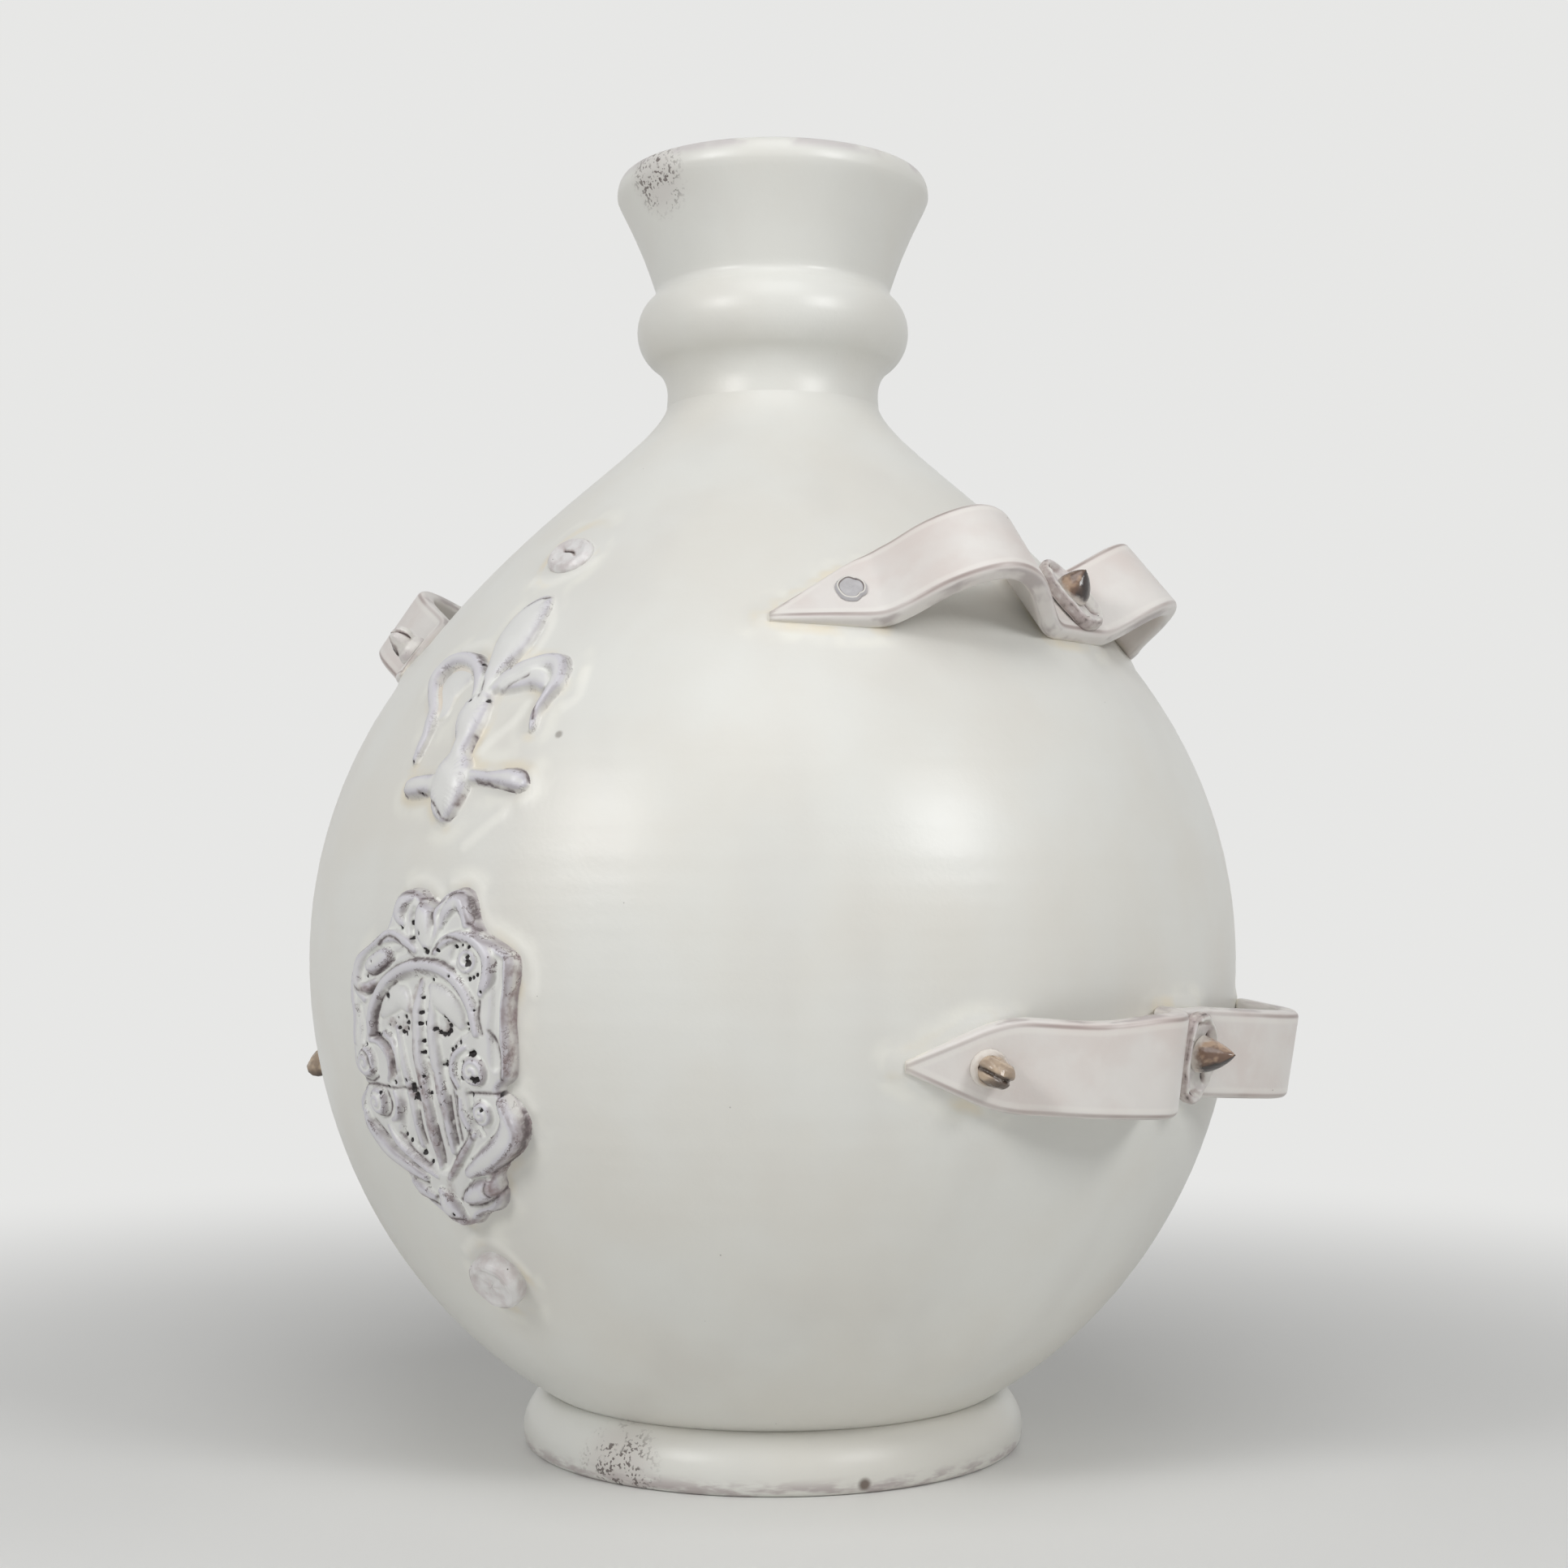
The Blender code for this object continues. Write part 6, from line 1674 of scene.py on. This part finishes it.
def relief_recipe(name, slope_wash_strength):
    """The same glaze where it lies thin on pressed clay, with painted shade; the second argument sets the
    slopes' grey and shade.
    """
    pot = Pot(name)
    bump, specks, clouds = white_ground(pot)
    fine = pot.noise(0.003, 3.0)
    coarse = pot.noise(0.011)
    lap = pot.value("lap")
    clay = 1.0 - lap.within(-0.0007, 0.0003)
    close = 1.0 - lap.within(0.0007, 0.0014)
    proud = pot.value("proud")
    pot.wash(clay * 0.85, 226, 226, 224)
    crest = clay * (proud + (coarse - 0.5) * 0.3).within(0.02, 0.35)
    pot.wash(crest * 0.75, 206, 203, 212)
    pooled = clay * (0.0 - proud).within(0.05, 0.35)
    pot.wash(pooled * 0.9, 240, 241, 236)
    cream = clay * pot.near(PETAL_HOLLOW, 0.012)
    pot.wash(cream * pooled.within(0.0, 0.3) * 0.8, 222, 210, 194)
    # steep slopes turn grey lilac where the glaze runs thin, and the same wash paints shade on the relief's
    # steep sides
    steep = pot.value("steep") + (fine - 0.5) * 1.2
    slope_grey_and_shade = close * steep.within(0.45, 1.35) * (1.0 - steep.within(1.8, 3.0) * 0.65)
    slope_grey_and_shade = slope_grey_and_shade * (0.45 + pot.noise(0.0075).within(0.36, 0.62) * 0.55)
    pot.wash(slope_grey_and_shade * slope_wash_strength, 152, 144, 147)
    vein = 1.0 - (pot.noise(0.006, 4.0, 0.65) - 0.5).math("ABSOLUTE").within(0.004, 0.022)
    vein = close * vein * steep.within(0.3, 0.9) * coarse.within(0.4, 0.56)
    pot.wash(vein * slope_wash_strength, 104, 90, 90)
    streak = pot.noise(0.004, 3.0, 0.6)
    # brown stains, and on the shield painted shadows and shade from the same table
    stain_and_shade = 1.0 - (pot.value("stain_and_shade") + (fine - 0.5) * 3.2).within(-0.9, 1.0)
    stain_and_shade = close * stain_and_shade * (0.25 + streak.within(0.38, 0.62) * 0.75)
    pot.wash(stain_and_shade * 0.75, 140, 120, 119)
    pot.wash(stain_and_shade * streak.within(0.56, 0.7) * 0.6, 86, 70, 70)
    # dark lines along the grooves; two of the shield's grooves paint shadows under its capsules
    stroke = pot.value("line") + (pot.noise(0.0018) - 0.5) * 0.7
    firm = (coarse * 0.5 + fine * 0.5).within(0.34, 0.5)
    soft_line = close * (1.0 - stroke.within(0.1, 0.9)) * (0.4 + firm * 0.6)
    pot.wash(soft_line * 0.6, 136, 124, 127)
    line = close * (1.0 - stroke.within(0.06, 0.42)) * firm
    pot.wash(line * 0.8, 84, 72, 74)
    # black pits; one row of the shield's pits paints the shadows under its two lumps
    ragged = (pot.noise(0.0014, 3.0, 0.6) - 0.5) * 1.3
    pit = clay * (pot.value("pit") + ragged).within(0.34, 0.52)
    pot.wash(pit, 36, 30, 31)
    roughness = 0.3 + clouds * 0.1 + specks * 0.2 + pit * 0.2
    return pot.finish(roughness, bump - pit * 1.2 - line * 0.6 - stain_and_shade * close * 0.3, 0.3, 0.0005)


WHITE = white_recipe()
RELIEF = relief_recipe("relief_glaze_real", 0.85)
LILY_GLAZE = relief_recipe("lily_glaze_real", 0.42)
print("white glaze has", len(WHITE.node_tree.nodes), "nodes, relief glaze", len(RELIEF.node_tree.nodes))

# %% [markdown]
# ## The straps' glaze
#
# The same glaze lies thinner on the straps and blushes pink. It has run off their sharp edges, where a
# fine brown line shows, and has left grey streaks on their sides. Clouds of pink and cream drift over
# their faces, and a painted highlight runs along the border of each outer face.

# %% Strap glaze
def strap_recipe():
    """The pinkish white of the straps."""
    pot = Pot("strap_glaze_real")
    clouds = pot.noise(0.022, 3.0)
    pot.ground(clouds.within(0.35, 0.68), tint(228, 224, 220), tint(222, 213, 208))
    pot.wash(pot.noise(0.009, 3.0).within(0.5, 0.75) * 0.4, 233, 230, 226)
    rim = pot.value("rim")
    outer = pot.value("outer")
    edge = 1.0 - (rim - 0.0013).math("ABSOLUTE").within(0.0001, 0.0009)
    top_edge = edge * outer.within(0.35, 0.85)
    run_off = 0.35 + pot.noise(0.03).within(0.4, 0.6) * 0.45
    pot.wash(top_edge * run_off, 150, 132, 128)
    # a pale line just inside the outer face's border: painted highlight of its rounded edge
    face_border_highlight = 1.0 - (rim - 0.0028).math("ABSOLUTE").within(0.0002, 0.0012)
    pot.wash(face_border_highlight * outer.within(0.6, 0.9) * 0.35, 240, 237, 231)
    side = (1.0 - rim.within(0.0004, 0.0014)) * (1.0 - outer.within(0.5, 0.9))
    pot.wash(side * 0.5, 222, 218, 214)
    strip = pot.node("ShaderNodeCombineXYZ", {}, {0: pot.value("along"), 1: rim * 7.0, 2: outer * 0.004})
    grain = pot.node("ShaderNodeTexNoise", {}, {"Vector": strip, "Scale": 70.0, "Detail": 3.0})
    grey = side * grain.within(0.48, 0.62)
    pot.wash(grey * 0.6, 158, 146, 146)
    lap = pot.value("lap")
    base = 1.0 - lap.within(0.0004, 0.0024)
    pot.wash(base * pot.noise(0.007).within(0.35, 0.6) * 0.55, 238, 232, 214)
    bend = pot.dots(0.009, 0.045) * pot.noise(0.011, 1.0).within(0.52, 0.6)
    pot.wash(bend * 0.8, 120, 100, 90)
    bump = pot.noise(0.0016) * 0.3 + pot.noise(0.007) * 0.7 - bend
    return pot.finish(0.28 + clouds * 0.12, bump, 0.3, 0.0006)


STRAP = strap_recipe()
print("strap glaze has", len(STRAP.node_tree.nodes), "nodes")

# %% [markdown]
# ## Bronze thorns and studs, and the keepers
#
# On the thorns and studs the glaze has broken to a shiny bronze brown, with white clinging to their feet.
# One side of each is painted darker as shade, and gold patches are painted on as highlights.
# The keepers are white in their dish and brown along their torn edges, and the two buttons are glazed the
# same way. The stump of the broken stud is grey.

# %% Bronze glaze and keeper glaze
def bronze_recipe(name, foot, deep, light, highlight_gold):
    """A broken brown glaze with painted shade on one side and painted gold highlights; foot is how far up
    the white reaches.
    """
    pot = Pot(name)
    tip = pot.value("tip")
    dark = pot.value("dark")
    drift = pot.noise(0.0035, 3.0)
    white = 1.0 - (tip + (drift - 0.5) * 0.5).within(foot - 0.08, foot + 0.14)
    # darker bronze where dark is written: painted shade on one side of the thorns and studs
    metal = pot.mix((pot.noise(0.006) - dark * 0.45).within(0.12, 0.5), deep, light)
    # gold patches, fewer on the shaded side: painted highlight
    gold_highlight = (pot.noise(0.0042) - dark * 0.35).within(0.42, 0.6)
    metal = pot.mix(gold_highlight * 0.6, metal, highlight_gold)
    pot.ground(white, metal, tint(230, 224, 216))
    rim = white * (tip + (drift - 0.5) * 0.3).within(foot - 0.16, foot + 0.02)
    pot.wash(rim * 0.5, 176, 160, 148)
    bump = pot.noise(0.0016, 3.0) * 0.8 + white * 0.5
    return pot.finish(0.17 + white * 0.13 + gold_highlight * 0.1, bump, 0.45, 0.0005, 0.35)


def keeper_recipe(name, face):
    """White clay with brown slits and a torn brown rim."""
    pot = Pot(name)
    drift = pot.noise(0.005, 3.0)
    pot.ground(drift.within(0.4, 0.65), face, tint(208, 201, 200))
    # on the pale thorn and the pale stud, dark also holds painted shade on one side
    dark = pot.value("dark") + (pot.noise(0.0022, 3.0) - 0.5) * 0.9
    pot.wash(dark.within(0.12, 0.55) * 0.65, 160, 142, 138)
    pot.wash(dark.within(0.5, 0.85), 66, 52, 48)
    pit = pot.dots(0.0034, 0.09) * pot.noise(0.006, 1.0).within(0.5, 0.58)
    pot.wash(pit, 70, 58, 54)
    bump = pot.noise(0.002, 3.0) - pit * 1.5 - dark.within(0.5, 0.85) * 0.5
    return pot.finish(0.26 + drift * 0.14, bump, 0.4, 0.0005)


def scar_recipe():
    """The broken stud's scar: grey lilac inside a cream ring, with a thin dark edge."""
    pot = Pot("scar_glaze_real")
    tip = pot.value("tip")
    grey = 1.0 - tip.within(0.86, 0.98)
    pot.ground(grey, tint(232, 229, 221), tint(186, 184, 186))
    dark = pot.value("dark") + (pot.noise(0.003) - 0.5) * 0.6
    pot.wash(dark.within(0.35, 0.8) * 0.85, 112, 100, 98)
    pit = pot.dots(0.0021, 0.16) * grey
    pot.wash(pit * 0.8, 96, 88, 90)
    return pot.finish(0.34 + pit * 0.2, pot.noise(0.0015, 3.0) - pit, 0.5, 0.0005)


BRONZE = bronze_recipe("bronze_glaze_real", 0.14, tint(50, 39, 36), tint(118, 92, 76), tint(216, 186, 158))
STUD = bronze_recipe("stud_glaze_real", 0.26, tint(92, 78, 68), tint(164, 144, 124), tint(212, 190, 164))
KEEPER = keeper_recipe("keeper_glaze_real", tint(229, 226, 221))
BUTTON = keeper_recipe("button_glaze_real", tint(227, 225, 224))
SCAR = scar_recipe()
print("bronze glaze has", len(BRONZE.node_tree.nodes), "nodes")

# %% [markdown]
# ## Putting the pieces on the frame
#
# Each visible piece stands for its CAD nodes and rides on the frame's one body, because fired clay
# doesn't move. At the upper left, one thorn and one stud are white like the keepers.

# %% Glaze the pieces and join them to the frame
def settle(piece, glaze, slot, *nodes):
    """Give a piece its glaze and the CAD nodes that it stands for; the slot is not used."""
    piece.data.materials.clear()
    piece.data.materials.append(glaze)
    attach(piece, "root")
    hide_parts(*nodes)


SPECIAL_STUDS = {"right_upper": SCAR, "left_upper": KEEPER}
THROWN = {"globe_body": globe, "neck_collar": collar, "mouth_funnel": funnel, "foot_ring": foot}
LILY_NODES = [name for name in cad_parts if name.startswith("lily_")]
STRAP_WORDS = ("_strap", "_keeper", "_spike", "_stud")
SHIELD_NODES = [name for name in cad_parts
                if name not in (*THROWN, *buttons, *LILY_NODES) and not name.endswith(STRAP_WORDS)]
for name, piece in THROWN.items():
    settle(piece, WHITE, "white_glaze", name)
settle(lily, LILY_GLAZE, "thin_glaze", *LILY_NODES)
settle(shield, RELIEF, "thin_glaze", *SHIELD_NODES)
for name in STRAPS:
    settle(bands[name], STRAP, "strap_glaze", name + "_strap")
    settle(keepers[name], KEEPER, "thin_glaze", name + "_keeper")
    pale = name == "left_upper"
    glaze, slot = (KEEPER, "thin_glaze") if pale else (BRONZE, "bronze_glaze")
    settle(thorns[name], glaze, slot, name + "_spike")
    for end in ("front", "rear"):
        glaze, slot = STUD, "bronze_glaze"
        if end == "front" and name in SPECIAL_STUDS:
            glaze, slot = SPECIAL_STUDS[name], "thin_glaze"
        settle(studs[name, end], glaze, slot, f"{name}_{end}_stud")
for name, piece in buttons.items():
    settle(piece, BUTTON, "thin_glaze", name)
print("lily stands for", len(LILY_NODES), "nodes and the shield for", len(SHIELD_NODES))

# %% [markdown]
# ## The studio
#
# A plain pale floor, a pale backdrop and soft lamps. Far from the vase the floor passes into the
# backdrop, so no horizon shows. Two lamps stand left and right of the camera and make the two soft shines
# on the globe. A wide lamp above lights the shoulder, so that the underside falls away.

# %% Floor, backdrop and lamps
PALE = (0.8, 0.8, 0.79, 1.0)
WHITE_LIGHT = (1.0, 1.0, 1.0, 1.0)
ROOM_LIGHT = 0.21
FLOOR_HALF = 6.0
FLOOR_FADE = (0.16, 0.72)
LAMP_AIM = Vector((0.0, 0.0, 0.19))
LAMPS = (("left_lamp", -43.0, 27.0, 1.3, 0.34, 4.8), ("right_lamp", 43.0, 27.0, 1.3, 0.34, 4.6),
         ("top_lamp", 0.0, 58.0, 1.5, 0.9, 5.4))


def soft_lamp(name, azimuth, elevation, distance, size, power):
    """A square lamp that faces the middle of the vase; the azimuth is turned from the camera."""
    data = bpy.data.lights.new(name, "AREA")
    data.shape = "SQUARE"
    data.size = size
    data.energy = power
    lamp = bpy.data.objects.new(name, data)
    scene.collection.objects.link(lamp)
    turn = CAMERA_AZIMUTH + math.radians(azimuth)
    rise = math.radians(elevation)
    back = Vector((math.sin(turn) * math.cos(rise), -math.cos(turn) * math.cos(rise), math.sin(rise)))
    lamp.location = LAMP_AIM + back * distance
    lamp.rotation_euler = back.to_track_quat("Z", "Y").to_euler()


def seen_ray(bench):
    """1 for the rays that the camera, a reflection or glass sends, and 0 for the rays of soft light."""
    seen, glossy, clear = (bench.node("ShaderNodeLightPath", {}, {}, f"Is {kind} Ray")
                           for kind in ("Camera", "Glossy", "Transmission"))
    return seen.math("MAXIMUM", glossy).math("MAXIMUM", clear)


def floor_material():
    """A pale matt studio floor that passes into the pale backdrop far from the vase."""
    pot = Pot("studio_floor")
    pot.ground(pot.noise(0.3).within(0.3, 0.7), tint(236, 236, 234), tint(232, 232, 230))
    pot.finish(0.6, pot.noise(0.01), 0.05, 0.0005)
    far = pot.node("ShaderNodeVectorMath", {"operation": "LENGTH"}, {0: pot.place}, "Value")
    glow = pot.node("ShaderNodeEmission", {}, {"Color": PALE})
    matt = Wire(pot, pot.shader.outputs[0])
    share = far.within(*FLOOR_FADE) * seen_ray(pot)
    blend = pot.node("ShaderNodeMixShader", {}, {0: share, 1: matt, 2: glow})
    pot.plug(pot.tree.nodes["Material Output"], {"Surface": blend})
    return pot.material


def add_floor():
    """One wide floor under the vase."""
    corners = ((-1, -1), (1, -1), (1, 1), (-1, 1))
    spots = [(FLOOR_HALF * east, FLOOR_HALF * north, 0.0) for east, north in corners]
    mesh = face_mesh("studio_floor", spots, [(0, 1, 2, 3)])
    mesh.materials.append(floor_material())
    floor = add_piece("studio_floor", mesh)


def add_world():
    """A pale backdrop for the camera and for reflections, and a dimmer room for the soft light."""
    world = bpy.data.worlds.new("studio")
    scene.world = world
    world.use_nodes = True
    world.node_tree.nodes.clear()
    bench = Bench(world.node_tree)
    room = bench.node("ShaderNodeBackground", {}, {"Color": WHITE_LIGHT, "Strength": ROOM_LIGHT})
    backdrop = bench.node("ShaderNodeBackground", {}, {"Color": PALE, "Strength": 1.0})
    blend = bench.node("ShaderNodeMixShader", {}, {0: seen_ray(bench), 1: room, 2: backdrop})
    bench.node("ShaderNodeOutputWorld", {}, {0: blend})


add_floor()
add_world()
for lamp in LAMPS:
    soft_lamp(*lamp)
scene.view_settings.view_transform = "Standard"
print("floor, backdrop and", len(LAMPS), "lamps")
